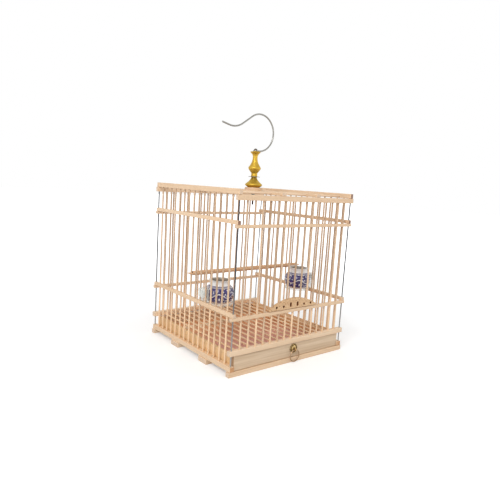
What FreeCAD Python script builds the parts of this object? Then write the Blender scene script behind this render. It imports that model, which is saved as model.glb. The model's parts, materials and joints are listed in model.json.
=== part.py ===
import FreeCAD, Part
import math
import os

import Sketcher

# Square hanging bird cage of split bamboo: stacked rails held by four steel corner rods,
# drilled for rows of thin bars, with a lift-up door, a tray drawer, two seed jars and a hook.
# Millimetres, +Z up, the front faces -Y, the origin is on the ground under the middle.

SIZES = {
    # whole cage
    "width": 215,
    "depth": 210,
    "frame_height": 240,
    # rails
    "rail_width": 5,
    "rail_height": 4.4,
    "side_rail_height": 5.2,
    "frame_rail_height": 7,
    "base_rail_width": 7,
    "side_overhang": 1.5,
    "lower_rail_rise": 38.9,
    "upper_rail_drop": 34.4,
    "base_cross_width": 20,
    "base_cross_front": 43,
    "base_cross_back": 33,
    "slat_width": 8,
    "slat_thickness": 4,
    # round-shaved bamboo bars and steel rods
    "bar_count": 15,
    "bar_sides": 6,
    "bar_radius": 1.4,
    "bar_fit": 0.06,
    "bar_seat": 2.5,
    "bar_end_gap": 1,
    "rod_sides": 8,
    "rod_radius": 1.1,
    "rod_fit": 0.06,
    "rod_end_gap": 1,
    # strip across the floor, under its bars
    "floor_cross_place": 23,
    "floor_cross_width": 9,
    "floor_cross_thickness": 2.4,
    "floor_cross_overhang": 4,
    # lift-up door
    "door_bar_count": 7,
    "door_fit": 0.25,
    "door_rest_gap": 0.3,
    "door_board_trim": 0.3,
    "door_board_edge": 2,
    "door_board_rise": 13,
    "door_bar_seat": 3,
    "pierce_sides": 8,
    "pierce_radius": 1.7,
    "pierce_level": 4.8,
    "pierce_slot_rise": 3,
    # perch
    "perch_sides": 12,
    "perch_radius": 3.3,
    "perch_rise": 42.6,
    "perch_overhang": 4,
    # tray drawer
    "drawer_height": 20,
    "drawer_front_thickness": 6,
    "drawer_wall": 5,
    "drawer_bottom_thickness": 3,
    "drawer_bottom_lift": 1,
    "drawer_recess": 2,
    "drawer_side_gap": 0.5,
    "drawer_rest_gap": 0.3,
    "drawer_back_gap": 0.5,
    "drawer_top_gap": 0.7,
    # ring pull
    "rosette_sides": 16,
    "rosette_radius": 7.2,
    "rosette_height": 2.3,
    "rosette_level": 12.2,
    "rosette_place": 6.5,
    "eye_sides": 8,
    "eye_width": 2.6,
    "eye_height": 4.6,
    "eye_reach": 3.9,
    "eye_drop": 1.2,
    "eye_wall": 1.1,
    "ring_sides": 24,
    "ring_radius": 8.5,
    "ring_wire_sides": 6,
    "ring_wire_radius": 0.8,
    "ring_clearance": 0.5,
    # seed jars and their holders
    "jar_sides": 20,
    "jar_inset": 27.5,
    "jar_left_rise": 4.7,
    "jar_right_rise": 11.6,
    "jar_radius": 21,
    "jar_height": 33.5,
    "jar_wall": 2,
    "jar_floor": 2.5,
    "holder_ring_radius": 17.3,
    "holder_ring_wall": 2.5,
    "holder_ring_height": 3,
    "holder_ring_top": 2.4,
    "holder_arm_width": 8,
    "holder_plate_thickness": 2,
    "holder_plate_width": 16,
    "holder_plate_height": 24,
    "holder_rail_gap": 0.2,
    "stem_width": 5,
    "stem_height": 5,
    "stem_level": 17,
    "stem_tail": 0.5,
    "clip_thickness": 2,
    "clip_width": 16,
    "clip_height": 13,
    "clip_corner": 4,
    "clip_fit": 0.1,
    # hook, bolt and turned brass
    "turned_sides": 16,
    "disc_sides": 24,
    "disc_radius": 13.3,
    "disc_height": 8,
    "bell_radius": 12.9,
    "bell_height": 15.5,
    "washer_radius": 8.6,
    "washer_thickness": 0.8,
    "swivel_gap": 0.1,
    "gourd_radius": 9.5,
    "gourd_height": 36.6,
    "bolt_sides": 12,
    "bolt_radius": 1.5,
    "bolt_fit": 0.06,
    "bolt_clearance": 0.3,
    "bolt_head_radius": 3,
    "bolt_head_height": 2.4,
    "bolt_tail": 18,
    "nut_radius": 3.2,
    "nut_height": 2.6,
    "nut_sides": 6,
    "hook_wire_sides": 6,
    "hook_wire_radius": 1.2,
    "hook_eye_radius": 4,
    "hook_offset": 6,
    "hook_bend_radius": 27,
    "hook_lean": 35,
    "hook_run": 21,
    "hook_lip_radius": 30,
    "hook_tip_rise": 13,
    "hook_tip_length": 12,
    # cuts start and end this far outside the piece
    "overrun": 1,
}

# Half profiles of the turned pieces: shares of the piece's radius and of its height
JAR_SHARES = (
    (0.62, 0), (0.80, 0.07), (0.93, 0.18), (1, 0.34), (0.97, 0.48),
    (0.86, 0.62), (0.71, 0.72), (0.67, 0.80), (0.67, 0.90), (0.74, 1),
)
JAR_HOLLOW_SHARES = ((0.80, 0), (1, 0.34), (0.97, 0.48), (0.71, 0.72), (0.67, 0.90), (0.74, 1))
GOURD_SHARES = (
    (0.52, 0), (0.48, 0.13), (0.72, 0.21), (1, 0.33), (0.77, 0.44),
    (0.49, 0.58), (0.38, 0.74), (0.46, 0.87), (0.81, 0.97), (0.78, 1),
)
BELL_SHARES = (
    (0.69, 0), (0.95, 0.17), (1, 0.26), (0.92, 0.36),
    (0.68, 0.52), (0.48, 0.70), (0.36, 0.86), (0.31, 1),
)
DISC_SHARES = ((0.91, 0), (1, 0.15), (1, 0.85), (0.91, 1))
ROSETTE_SHARES = ((1, 0), (1, 0.3), (0.8, 0.7), (0.42, 1))
BOLT_HEAD_SHARES = ((1, 0), (0.92, 0.6), (0.5, 1))

doc = FreeCAD.newDocument("BirdCage")
sheet = doc.addObject("Spreadsheet::Sheet", "Sizes")


class Size:
    """A length or count that knows its number and the sheet expression it comes from."""

    def __init__(self, value, text):
        self.value = value
        self.text = text

    @staticmethod
    def of(other):
        return other if isinstance(other, Size) else Size(float(other), str(other))

    def joined(self, sign, other, value):
        return Size(value, f"({self.text} {sign} {other.text})")

    def __add__(self, other):
        other = Size.of(other)
        return self.joined("+", other, self.value + other.value)

    def __sub__(self, other):
        other = Size.of(other)
        return self.joined("-", other, self.value - other.value)

    def __mul__(self, other):
        other = Size.of(other)
        return self.joined("*", other, self.value * other.value)

    def __truediv__(self, other):
        other = Size.of(other)
        return self.joined("/", other, self.value / other.value)

    def __neg__(self):
        return Size.of(0) - self

    def __rsub__(self, other):
        return Size.of(other) - self

    def __rmul__(self, other):
        return Size.of(other) * self


def sine(angle):
    return Size(math.sin(math.radians(angle.value)), f"sin({angle.text} * 1 deg)")


def cosine(angle):
    return Size(math.cos(math.radians(angle.value)), f"cos({angle.text} * 1 deg)")


class Sizes:
    """Every cell of the sheet under its own name."""


s = Sizes()
for row, (name, number) in enumerate(SIZES.items(), start=1):
    sheet.set(f"A{row}", name)
    sheet.set(f"B{row}", str(number))
    sheet.setAlias(f"B{row}", name)
    setattr(s, name, Size(float(number), f"Sizes.{name}"))
doc.recompute()

zero = Size.of(0)

# Places that several pieces share
half_width = s.width / 2
half_depth = s.depth / 2
side_face = half_width - s.side_overhang
rod_x = side_face - s.rail_width / 2
rod_y = half_depth - s.rail_width / 2
pitch_x = rod_x * 2 / (s.bar_count + 1)
pitch_y = rod_y * 2 / (s.bar_count + 1)
row_x = pitch_x * (s.bar_count - 1) / 2
row_y = pitch_y * (s.bar_count - 1) / 2
base_height = s.frame_rail_height
drawer_level = base_height + s.drawer_rest_gap
floor_level = drawer_level + s.drawer_height + s.drawer_top_gap
floor_top = floor_level + s.frame_rail_height
lower_level = floor_top + s.lower_rail_rise
perch_level = lower_level + s.perch_rise
top_level = s.frame_height - s.frame_rail_height * 2
upper_level = top_level - s.upper_rail_drop
roof_level = s.frame_height - s.frame_rail_height
bar_hole = s.bar_radius + s.bar_fit
hexagon = cosine(Size.of(30))


# Helpers that make the pieces


def bind(thing, **sizes):
    for prop, size in sizes.items():
        thing.setExpression(prop.replace("__", "."), Size.of(size).text)


pieces = []


def new_body(label):
    body = doc.addObject("PartDesign::Body", label)
    body.Label = label
    body.AllowCompound = True
    pieces.append(body)
    return body


def origin_part(body, role):
    return next(part for part in body.Origin.OriginFeatures if part.Role == role)


def place(thing, x, y, z):
    bind(thing, Placement__Base__x=x, Placement__Base__y=y, Placement__Base__z=z)


def turn(thing, axis, angle):
    rotation = FreeCAD.Rotation(axis, angle)
    thing.Placement = FreeCAD.Placement(thing.Placement.Base, rotation)


def block(body, name, x, y, z, cut=False):
    """A box between the low and high size of each pair."""
    kind = "PartDesign::SubtractiveBox" if cut else "PartDesign::AdditiveBox"
    box = body.newObject(kind, name)
    bind(box, Length=x[1] - x[0], Width=y[1] - y[0], Height=z[1] - z[0])
    place(box, x[0], y[0], z[0])
    return box


def prism(body, name, x, y, z, radius, sides, cut=False):
    """An upright stick with flat sides."""
    kind = "PartDesign::SubtractivePrism" if cut else "PartDesign::AdditivePrism"
    stick = body.newObject(kind, name)
    bind(stick, Polygon=sides, Circumradius=radius, Height=z[1] - z[0])
    place(stick, x, y, z[0])
    return stick


def row_of(body, feature, axis, pitch, count):
    """Repeats a feature along an axis of its body."""
    pattern = body.newObject("PartDesign::LinearPattern", feature.Name + "_row")
    pattern.Originals = [feature]
    pattern.Direction = (origin_part(body, axis), [""])
    bind(pattern, Length=pitch * (count - 1), Occurrences=count)
    body.Tip = pattern
    return pattern


def new_sketch(body, name, plane):
    sketch = body.newObject("Sketcher::SketchObject", name)
    sketch.AttachmentSupport = [(origin_part(body, plane), "")]
    sketch.MapMode = "FlatFace"
    return sketch


def fix(sketch, kind, *where, size):
    index = sketch.addConstraint(Sketcher.Constraint(kind, *where, size.value))
    sketch.setExpression(f"Constraints[{index}]", size.text)


def line_or_arc(sketch, start, end):
    """Draws one side of an outline and gives the ends of it in travel order.

    An end of three sizes makes an arc: the third is how far it bulges to the right of travel.
    """
    low = FreeCAD.Vector(start[0].value, start[1].value, 0)
    high = FreeCAD.Vector(end[0].value, end[1].value, 0)
    if len(end) == 2:
        index = sketch.addGeometry(Part.LineSegment(low, high))
        return (index, 1), (index, 2)
    bulge = end[2]
    across = end[0] - start[0]
    up = end[1] - start[1]
    radius = ((across * across + up * up) / 4 + bulge * bulge) / (bulge * 2)
    outward = FreeCAD.Vector(up.value, -across.value, 0).normalize()
    centre = (low + high) * 0.5 + outward * (bulge.value - radius.value)
    first, last = (low, high) if bulge.value > 0 else (high, low)
    begin, finish = (math.atan2(p.y - centre.y, p.x - centre.x) for p in (first, last))
    if finish < begin:
        finish += 2 * math.pi
    circle = Part.Circle(centre, FreeCAD.Vector(0, 0, 1), abs(radius.value))
    index = sketch.addGeometry(Part.ArcOfCircle(circle, begin, finish))
    if bulge.value > 0:
        fix(sketch, "Radius", index, size=radius)
        return (index, 1), (index, 2)
    fix(sketch, "Radius", index, size=-radius)
    return (index, 2), (index, 1)


def outline(sketch, corners, closed=True):
    """Draws lines and arcs through the corners and fixes every corner by its sizes."""
    firsts, lasts, ends = [], [], []
    for start, end in zip(corners[-1:] + corners[:-1], corners):
        if not closed and end is corners[0]:
            continue
        first, last = line_or_arc(sketch, start, end)
        firsts.append(first)
        lasts.append(last)
        ends.append(end)
    for first, last in zip(firsts[1:] + (firsts[:1] if closed else []), lasts):
        sketch.addConstraint(Sketcher.Constraint("Coincident", *last, *first))
    if not closed:
        lasts.append(firsts[0])
        ends.append(corners[0])
    for last, end in zip(lasts, ends):
        fix(sketch, "DistanceX", *last, size=end[0])
        fix(sketch, "DistanceY", *last, size=end[1])


def many_sided(name, x, y, z, radius, sides):
    """A flat regular polygon, one ring of a turned piece."""
    ring = doc.addObject("Part::RegularPolygon", name)
    bind(ring, Polygon=sides, Circumradius=radius)
    place(ring, x, y, z)
    return ring


def lofted(name, rings):
    """The solid with flat sides that joins rings of equal number of sides."""
    skin = doc.addObject("Part::Loft", name)
    skin.Sections = rings
    skin.Solid = True
    skin.Ruled = True
    skin.Linearize = True
    return skin


def turned(name, shares, radius, height, x, y, level, sides=s.turned_sides):
    """An upright piece turned from its half profile."""
    rings = []
    for index, (out, up) in enumerate(shares):
        rings.append(many_sided(f"{name}_ring_{index}", x, y, level + height * up, radius * out, sides))
    return lofted(name, rings)


def stick(name, x, y, z, radius, sides):
    """An upright stick outside any body."""
    rod = doc.addObject("Part::Prism", name)
    bind(rod, Polygon=sides, Circumradius=radius, Height=z[1] - z[0])
    place(rod, x, y, z[0])
    return rod


def joined(kind, name, base, tool):
    result = doc.addObject(kind, name)
    result.Base = base
    result.Tool = tool
    return result


def piece(thing, label):
    thing.Label = label
    pieces.append(thing)
    return thing


def bored(label, base, z, radius):
    """A turned piece with a six-sided bore of this size across flats on the hook's axis."""
    tool = stick(label + "_bore", zero, zero, z, radius / hexagon, s.bar_sides)
    return joined("Part::Cut", label + "_bored", base, tool)


def padded_outline(body, name, plane, corners, thickness):
    sketch = new_sketch(body, name + "_outline", plane)
    outline(sketch, corners)
    pad = body.newObject("PartDesign::Pad", name)
    pad.Profile = sketch
    pad.Midplane = True
    bind(pad, Length=thickness)
    return pad


# Drilled rails


def rod_hole(body, z):
    """The first hole for a corner rod, still to be placed."""
    radius = s.rod_radius + s.rod_fit
    return prism(body, body.Label + "_rod_hole", zero, zero, z, radius, s.rod_sides, cut=True)


def through(level, height):
    return (level - s.overrun, level + height + s.overrun)


def cross_rail(label, side, level, height, rail_width):
    """A rail along X on the front (-1) or back (1), with its two rod holes."""
    body = new_body(label)
    outer = half_depth * side
    inner = (half_depth - rail_width) * side
    y = (outer, inner) if side < 0 else (inner, outer)
    block(body, label + "_blank", (-half_width, half_width), y, (level, level + height))
    hole = rod_hole(body, through(level, height))
    place(hole, -rod_x, rod_y * side, level - s.overrun)
    row_of(body, hole, "X_Axis", rod_x * 2, Size.of(2))
    return body


def side_rail(label, side, level, height, rail_width):
    """A rail along Y on the left (-1) or right (1), with its two rod holes."""
    body = new_body(label)
    outer = side_face * side
    inner = (side_face - rail_width) * side
    x = (outer, inner) if side < 0 else (inner, outer)
    block(body, label + "_blank", x, (-half_depth, half_depth), (level, level + height))
    hole = rod_hole(body, through(level, height))
    place(hole, rod_x * side, -rod_y, level - s.overrun)
    row_of(body, hole, "Y_Axis", rod_y * 2, Size.of(2))
    return body


def drill_cross(body, side, z, first=None, count=None, radius=bar_hole):
    """A row of bar holes along a front or back rail."""
    first = -row_x if first is None else first
    count = s.bar_count if count is None else count
    name = f"{body.Label}_bar_hole_{len(body.Group)}"
    hole = prism(body, name, first, rod_y * side, z, radius, s.bar_sides, cut=True)
    row_of(body, hole, "X_Axis", pitch_x, count)


def drill_side(body, side, z):
    """A row of bar holes along a left or right rail."""
    name = body.Label + "_bar_hole"
    hole = prism(body, name, rod_x * side, -row_y, z, bar_hole, s.bar_sides, cut=True)
    row_of(body, hole, "Y_Axis", pitch_y, s.bar_count)


def groove_side(body, side, level):
    """A groove under a left or right top rail, which takes the tops of the side bars."""
    x = (rod_x * side - bar_hole, rod_x * side + bar_hole)
    reach = row_y + bar_hole
    z = (level - s.overrun, level + s.bar_seat)
    block(body, body.Label + "_groove", x, (-reach, reach), z, cut=True)


# Which bars of the front belong to the door
fixed_count = (s.bar_count - s.door_bar_count) / 2
door_first = -pitch_x * (s.door_bar_count - 1) / 2
right_first = row_x - pitch_x * (fixed_count - 1)
door_hole = s.bar_radius + s.door_fit


def drill_front(body, z):
    """Close holes for the fixed front bars and easy ones for the door bars between them."""
    drill_cross(body, -1, z, -row_x, fixed_count)
    drill_cross(body, -1, z, door_first, s.door_bar_count, door_hole)
    drill_cross(body, -1, z, right_first, fixed_count)


# Base: two cross rails, two flat cross bars and two side rails on top of them
cross_rail("base_rail_front", -1, zero, base_height, s.base_rail_width)
back = cross_rail("base_rail_back", 1, zero, base_height, s.base_rail_width)
drill_cross(back, 1, (base_height - s.bar_seat, base_height + s.overrun))

for label, middle in (("base_cross_front", -s.base_cross_front), ("base_cross_back", s.base_cross_back)):
    body = new_body(label)
    y = (middle - s.base_cross_width / 2, middle + s.base_cross_width / 2)
    block(body, label + "_blank", (-half_width, half_width), y, (zero, base_height))

side_seat = (base_height * 2 - s.bar_seat, base_height * 2 + s.overrun)
for label, side in (("base_rail_left", -1), ("base_rail_right", 1)):
    body = side_rail(label, side, base_height, base_height, s.base_rail_width)
    drill_side(body, side, side_seat)

# Floor: a row of bars whose ends lie in a groove of the front and back rails
floor_bar_level = floor_level + s.frame_rail_height / 2
floor_inner = half_depth - s.base_rail_width
floor_bar_end = floor_inner + s.bar_seat


def floor_rail(label, side):
    body = cross_rail(label, side, floor_level, s.frame_rail_height, s.base_rail_width)
    reach = row_x + bar_hole
    near = (floor_inner - s.overrun) * side
    far = (floor_bar_end + s.bar_fit) * side
    y = (far, near) if side < 0 else (near, far)
    z = (floor_bar_level - bar_hole * hexagon, floor_bar_level + bar_hole * hexagon)
    block(body, label + "_groove", (-reach, reach), y, z, cut=True)
    return body


front = floor_rail("floor_rail_front", -1)
drill_cross(front, -1, (floor_top - s.bar_seat, floor_top + s.overrun))
back = floor_rail("floor_rail_back", 1)
drill_cross(back, 1, through(floor_level, s.frame_rail_height))

floor_bars = new_body("floor_bars")
floor_bar_span = (-floor_bar_end, floor_bar_end)
floor_bar = prism(floor_bars, "floor_bar", -row_x, zero, floor_bar_span, s.bar_radius, s.bar_sides)
turn(floor_bar, FreeCAD.Vector(1, 0, 0), -90)
place(floor_bar, -row_x, -floor_bar_end, floor_bar_level)
row_of(floor_bars, floor_bar, "X_Axis", pitch_x, s.bar_count)

floor_cross = new_body("floor_cross")
floor_cross_end = row_x + s.floor_cross_overhang
floor_cross_top = floor_bar_level - s.bar_radius * hexagon
block(
    floor_cross,
    "floor_cross_blank",
    (-floor_cross_end, floor_cross_end),
    (s.floor_cross_place - s.floor_cross_width / 2, s.floor_cross_place + s.floor_cross_width / 2),
    (floor_cross_top - s.floor_cross_thickness, floor_cross_top),
)

# Lower and upper rails, the side ones lying on the cross ones at the corners
for belt, level in (("lower", lower_level), ("upper", upper_level)):
    holes = through(level, s.rail_height)
    front = cross_rail(f"{belt}_rail_front", -1, level, s.rail_height, s.rail_width)
    if belt == "lower":
        drill_cross(front, -1, holes)
    else:
        drill_front(front, holes)
    back = cross_rail(f"{belt}_rail_back", 1, level, s.rail_height, s.rail_width)
    drill_cross(back, 1, holes)
    side_level = level + s.rail_height
    for name, side in (("left", -1), ("right", 1)):
        body = side_rail(f"{belt}_rail_{name}", side, side_level, s.side_rail_height, s.rail_width)
        drill_side(body, side, through(side_level, s.side_rail_height))

# Top frame: cross rails, then side rails and slats lying on them
front = cross_rail("top_rail_front", -1, top_level, s.frame_rail_height, s.rail_width)
drill_front(front, through(top_level, s.frame_rail_height))
back = cross_rail("top_rail_back", 1, top_level, s.frame_rail_height, s.rail_width)
back_y = (rod_y - bar_hole, rod_y + bar_hole)
groove_x = (-row_x - bar_hole, row_x + bar_hole)
groove_z = (top_level - s.overrun, top_level + s.bar_seat)
block(back, "top_rail_back_groove", groove_x, back_y, groove_z, cut=True)

# Roof bars lie along X through the slats, half a pitch off the side bars,
# so that the two middle ones pass through the hook's disc beside its bolt
roof_bar_level = roof_level + s.slat_thickness / 2
roof_first = pitch_y * 3 / 2
roof_count = (s.bar_count - 3) / 2
roof_last = roof_first + pitch_y * (roof_count - 1)
roof_seat = rod_x - s.rail_width / 2 + s.bar_seat
roof_rows = (
    ("front", -roof_last, roof_count),
    ("middle", -pitch_y / 2, Size.of(2)),
    ("back", roof_first, roof_count),
)


def roof_row(body, name, x, radius, start, count, cut=False):
    """A row of roof bars, or of the holes for them, from one Y place onwards."""
    bar = prism(body, name, x[0], start, x, radius, s.bar_sides, cut)
    turn(bar, FreeCAD.Vector(0, 1, 0), 90)
    place(bar, x[0], start, roof_bar_level)
    row_of(body, bar, "Y_Axis", pitch_y, count)


def across(side, near, far):
    """The X span from near to far on the left (-1) or right (1) side."""
    return (far * side, near * side) if side < 0 else (near * side, far * side)


def beside(middle, width):
    return (middle - width / 2, middle + width / 2)


roof_reach = roof_last + bar_hole
for name, side in (("left", -1), ("right", 1)):
    label = f"top_rail_{name}"
    body = side_rail(label, side, roof_level, s.frame_rail_height, s.rail_width)
    groove_side(body, side, roof_level)
    x = across(side, rod_x - s.rail_width / 2 - s.overrun, roof_seat + s.bar_fit)
    z = beside(roof_bar_level, bar_hole * 2)
    block(body, label + "_roof_groove", x, (-roof_reach, roof_reach), z, cut=True)

    label = f"top_slat_{name}"
    body = new_body(label)
    x = beside(pitch_x * 5 / 2 * side, s.slat_width)
    block(body, label + "_blank", x, (-half_depth, half_depth), (roof_level, roof_level + s.slat_thickness))
    x = (x[0] - s.overrun, x[1] + s.overrun)
    roof_row(body, label + "_hole", x, bar_hole, -roof_last, s.bar_count - 1, cut=True)

for end, start, count in roof_rows:
    body = new_body(f"roof_bars_{end}")
    roof_row(body, f"roof_bar_{end}", (-roof_seat, roof_seat), s.bar_radius, start, count)

# Steel corner rods through every rail crossing
for end, y_side in (("front", -1), ("back", 1)):
    for name, x_side in (("left", -1), ("right", 1)):
        body = new_body(f"corner_rod_{end}_{name}")
        z = (s.rod_end_gap, s.frame_height - s.rod_end_gap)
        prism(body, f"rod_{end}_{name}", rod_x * x_side, rod_y * y_side, z, s.rod_radius, s.rod_sides)

# Fixed bars of the four faces
side_bar_z = (base_height * 2 - s.bar_seat, roof_level + s.bar_seat)
for name, side in (("left", -1), ("right", 1)):
    body = new_body(f"bars_{name}")
    bar = prism(body, f"bar_{name}", rod_x * side, -row_y, side_bar_z, s.bar_radius, s.bar_sides)
    row_of(body, bar, "Y_Axis", pitch_y, s.bar_count)


def cross_bars(label, side, z, first, count):
    body = new_body(label)
    bar = prism(body, label + "_bar", first, rod_y * side, z, s.bar_radius, s.bar_sides)
    row_of(body, bar, "X_Axis", pitch_x, count)


bar_top = roof_level - s.bar_end_gap
front_bar_z = (floor_top - s.bar_seat, bar_top)
under_door_z = (floor_top - s.bar_seat, lower_level + s.rail_height - s.bar_end_gap)
cross_bars("bars_back", 1, (base_height - s.bar_seat, top_level + s.bar_seat), -row_x, s.bar_count)
cross_bars("bars_front_left", -1, front_bar_z, -row_x, fixed_count)
cross_bars("bars_front_right", -1, front_bar_z, right_first, fixed_count)
cross_bars("bars_under_door", -1, under_door_z, door_first, s.door_bar_count)

# Door: bars that slide up through the drilled rails, standing in a domed and pierced foot board
door_level = lower_level + s.rail_height + s.door_rest_gap
half_board = pitch_x * s.door_bar_count / 2 - s.door_board_trim
board_edge = s.door_board_edge
crown = board_edge + s.door_board_rise
dome_radius = (half_board * half_board + s.door_board_rise * s.door_board_rise) / (s.door_board_rise * 2)
door_steps = [step - (SIZES["door_bar_count"] - 1) / 2 for step in range(SIZES["door_bar_count"])]


def dome_height(x):
    """How high the foot board's domed edge stands at a place along it."""
    value = math.sqrt(dome_radius.value ** 2 - x.value ** 2)
    root = Size(value, f"sqrt({dome_radius.text} ^ 2 - {x.text} ^ 2)")
    return crown - dome_radius + root


board = new_body("door_board")
dome = [
    (-half_board, zero),
    (half_board, zero),
    (half_board, board_edge),
    (-half_board, board_edge, s.door_board_rise),
]
padded_outline(board, "board", "XZ_Plane", dome, s.rail_width)
for index, step in enumerate(door_steps):
    x = pitch_x * step
    z = (dome_height(x) - s.door_bar_seat, crown + s.overrun)
    prism(board, f"board_seat_{index}", x, zero, z, bar_hole, s.bar_sides, cut=True)


def pierce(name, x, z):
    """A small hole from the front of the foot board to its back."""
    y = s.rail_width / 2 + s.overrun
    hole = prism(board, name, x, y, (-y, y), s.pierce_radius, s.pierce_sides, cut=True)
    turn(hole, FreeCAD.Vector(1, 0, 0), 90)
    place(hole, x, y, z)


# The two holes beside the middle are tall slots, the others are round
for index, step in enumerate(door_steps[:-1]):
    x = pitch_x * (step + 0.5)
    pierce(f"pierce_{index}", x, s.pierce_level)
    if abs(step + 0.5) < 1:
        slot_top = s.pierce_level + s.pierce_slot_rise
        pierce(f"pierce_{index}_top", x, slot_top)
        y = beside(zero, s.rail_width + s.overrun * 2)
        slot_x = beside(x, s.pierce_radius * 2)
        block(board, f"pierce_{index}_slot", slot_x, y, (s.pierce_level, slot_top), cut=True)
place(board, zero, -rod_y, door_level)

# The outer door bars stand lower in the dome than the middle ones
body = new_body("door_bars")
for index, step in enumerate(door_steps):
    x = pitch_x * step
    z = (door_level + dome_height(x) - s.door_bar_seat, bar_top)
    prism(body, f"door_bar_{index}", x, -rod_y, z, s.bar_radius, s.bar_sides)

# Perch with forked ends that straddle the middle bar of each side
perch = new_body("perch")
perch_end = rod_x + s.perch_overhang
rod = prism(perch, "perch_rod", zero, zero, (-perch_end, perch_end), s.perch_radius, s.perch_sides)
turn(rod, FreeCAD.Vector(0, 1, 0), 90)
place(rod, -perch_end, zero, perch_level)
fork_z = beside(perch_level, (s.perch_radius + s.overrun) * 2)
for name, side in (("left", -1), ("right", 1)):
    x = across(side, rod_x - bar_hole, perch_end + s.overrun)
    block(perch, f"perch_fork_{name}", x, (-bar_hole, bar_hole), fork_z, cut=True)

# Tray drawer between the base rails
drawer_half = side_face - s.base_rail_width - s.drawer_side_gap
drawer_front_y = -half_depth + s.drawer_recess
front_back_y = drawer_front_y + s.drawer_front_thickness
drawer_back_y = rod_y - s.bar_radius - s.drawer_back_gap
back_front_y = drawer_back_y - s.drawer_wall
drawer_z = (drawer_level, drawer_level + s.drawer_height)
inner_half = drawer_half - s.drawer_wall

body = new_body("drawer_front")
block(body, "drawer_front_board", (-drawer_half, drawer_half), (drawer_front_y, front_back_y), drawer_z)
for name, side in (("left", -1), ("right", 1)):
    body = new_body(f"drawer_side_{name}")
    x = across(side, inner_half, drawer_half)
    block(body, f"drawer_side_board_{name}", x, (front_back_y, drawer_back_y), drawer_z)
body = new_body("drawer_back")
block(body, "drawer_back_board", (-inner_half, inner_half), (back_front_y, drawer_back_y), drawer_z)
body = new_body("drawer_bottom")
bottom_level = drawer_level + s.drawer_bottom_lift
bottom_z = (bottom_level, bottom_level + s.drawer_bottom_thickness)
block(body, "drawer_bottom_board", (-inner_half, inner_half), (front_back_y, back_front_y), bottom_z)

# Ring pull: a domed rosette with an eye, and a ring that hangs in it
rosette_z = drawer_level + s.rosette_level
eye_z = rosette_z - s.eye_drop
eye_tip_y = drawer_front_y - s.rosette_height - s.eye_reach
eye_hole = s.ring_wire_radius + s.ring_clearance
eye_y = eye_tip_y + s.eye_wall + eye_hole

rings = []
for index, (out, up) in enumerate(ROSETTE_SHARES):
    y = drawer_front_y - s.rosette_height * up
    name = f"rosette_ring_{index}"
    ring = many_sided(name, s.rosette_place, y, rosette_z, s.rosette_radius * out, s.rosette_sides)
    turn(ring, FreeCAD.Vector(1, 0, 0), 90)
    rings.append(ring)
rosette = lofted("rosette_dome", rings)
lug = doc.addObject("Part::Box", "eye_lug")
bind(lug, Length=s.eye_width, Width=s.eye_reach + s.rosette_height / 2, Height=s.eye_height)
place(lug, s.rosette_place - s.eye_width / 2, eye_tip_y, eye_z - s.eye_height / 2)
half_hole = s.eye_width / 2 + s.overrun
hole_x = s.rosette_place - half_hole
hole = stick("eye_hole", hole_x, eye_y, (-half_hole, half_hole), eye_hole, s.eye_sides)
turn(hole, FreeCAD.Vector(0, 1, 0), 90)
place(hole, hole_x, eye_y, eye_z)
lugged = joined("Part::Fuse", "rosette_with_eye", rosette, lug)
piece(joined("Part::Cut", "rosette_drilled", lugged, hole), "pull_rosette")

ring_z = eye_z - s.ring_radius
path = many_sided("ring_path", s.rosette_place, eye_y, ring_z, s.ring_radius, s.ring_sides)
turn(path, FreeCAD.Vector(1, 0, 0), 90)
section_x = s.rosette_place + s.ring_radius
section = many_sided("ring_section", section_x, eye_y, ring_z, s.ring_wire_radius, s.ring_wire_sides)
ring = doc.addObject("Part::Sweep", "ring_wire")
ring.Sections = [section]
ring.Spine = (path, [f"Edge{index + 1}" for index in range(SIZES["ring_sides"])])
ring.Solid = True
ring.Transition = "Right corner"
ring.Linearize = True
piece(ring, "pull_ring")

# Seed jars, each lifting out of a clear holder that is clipped through the side bars
jar_x = rod_x - s.jar_inset
jar_y = -pitch_y * 5 / 2
stem_end = rod_x + s.bar_radius + s.clip_thickness + s.stem_tail
plate_outer = side_face - s.rail_width - s.holder_rail_gap
plate_inner = plate_outer - s.holder_plate_thickness
clip_half = s.clip_width / 2
clip_rise = s.clip_height / 2
clip_corner = s.clip_corner
oval = [
    (-clip_half + clip_corner, -clip_rise),
    (clip_half - clip_corner, -clip_rise),
    (clip_half, -clip_rise + clip_corner),
    (clip_half, clip_rise - clip_corner),
    (clip_half - clip_corner, clip_rise),
    (-clip_half + clip_corner, clip_rise),
    (-clip_half, clip_rise - clip_corner),
    (-clip_half, -clip_rise + clip_corner),
]

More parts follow.
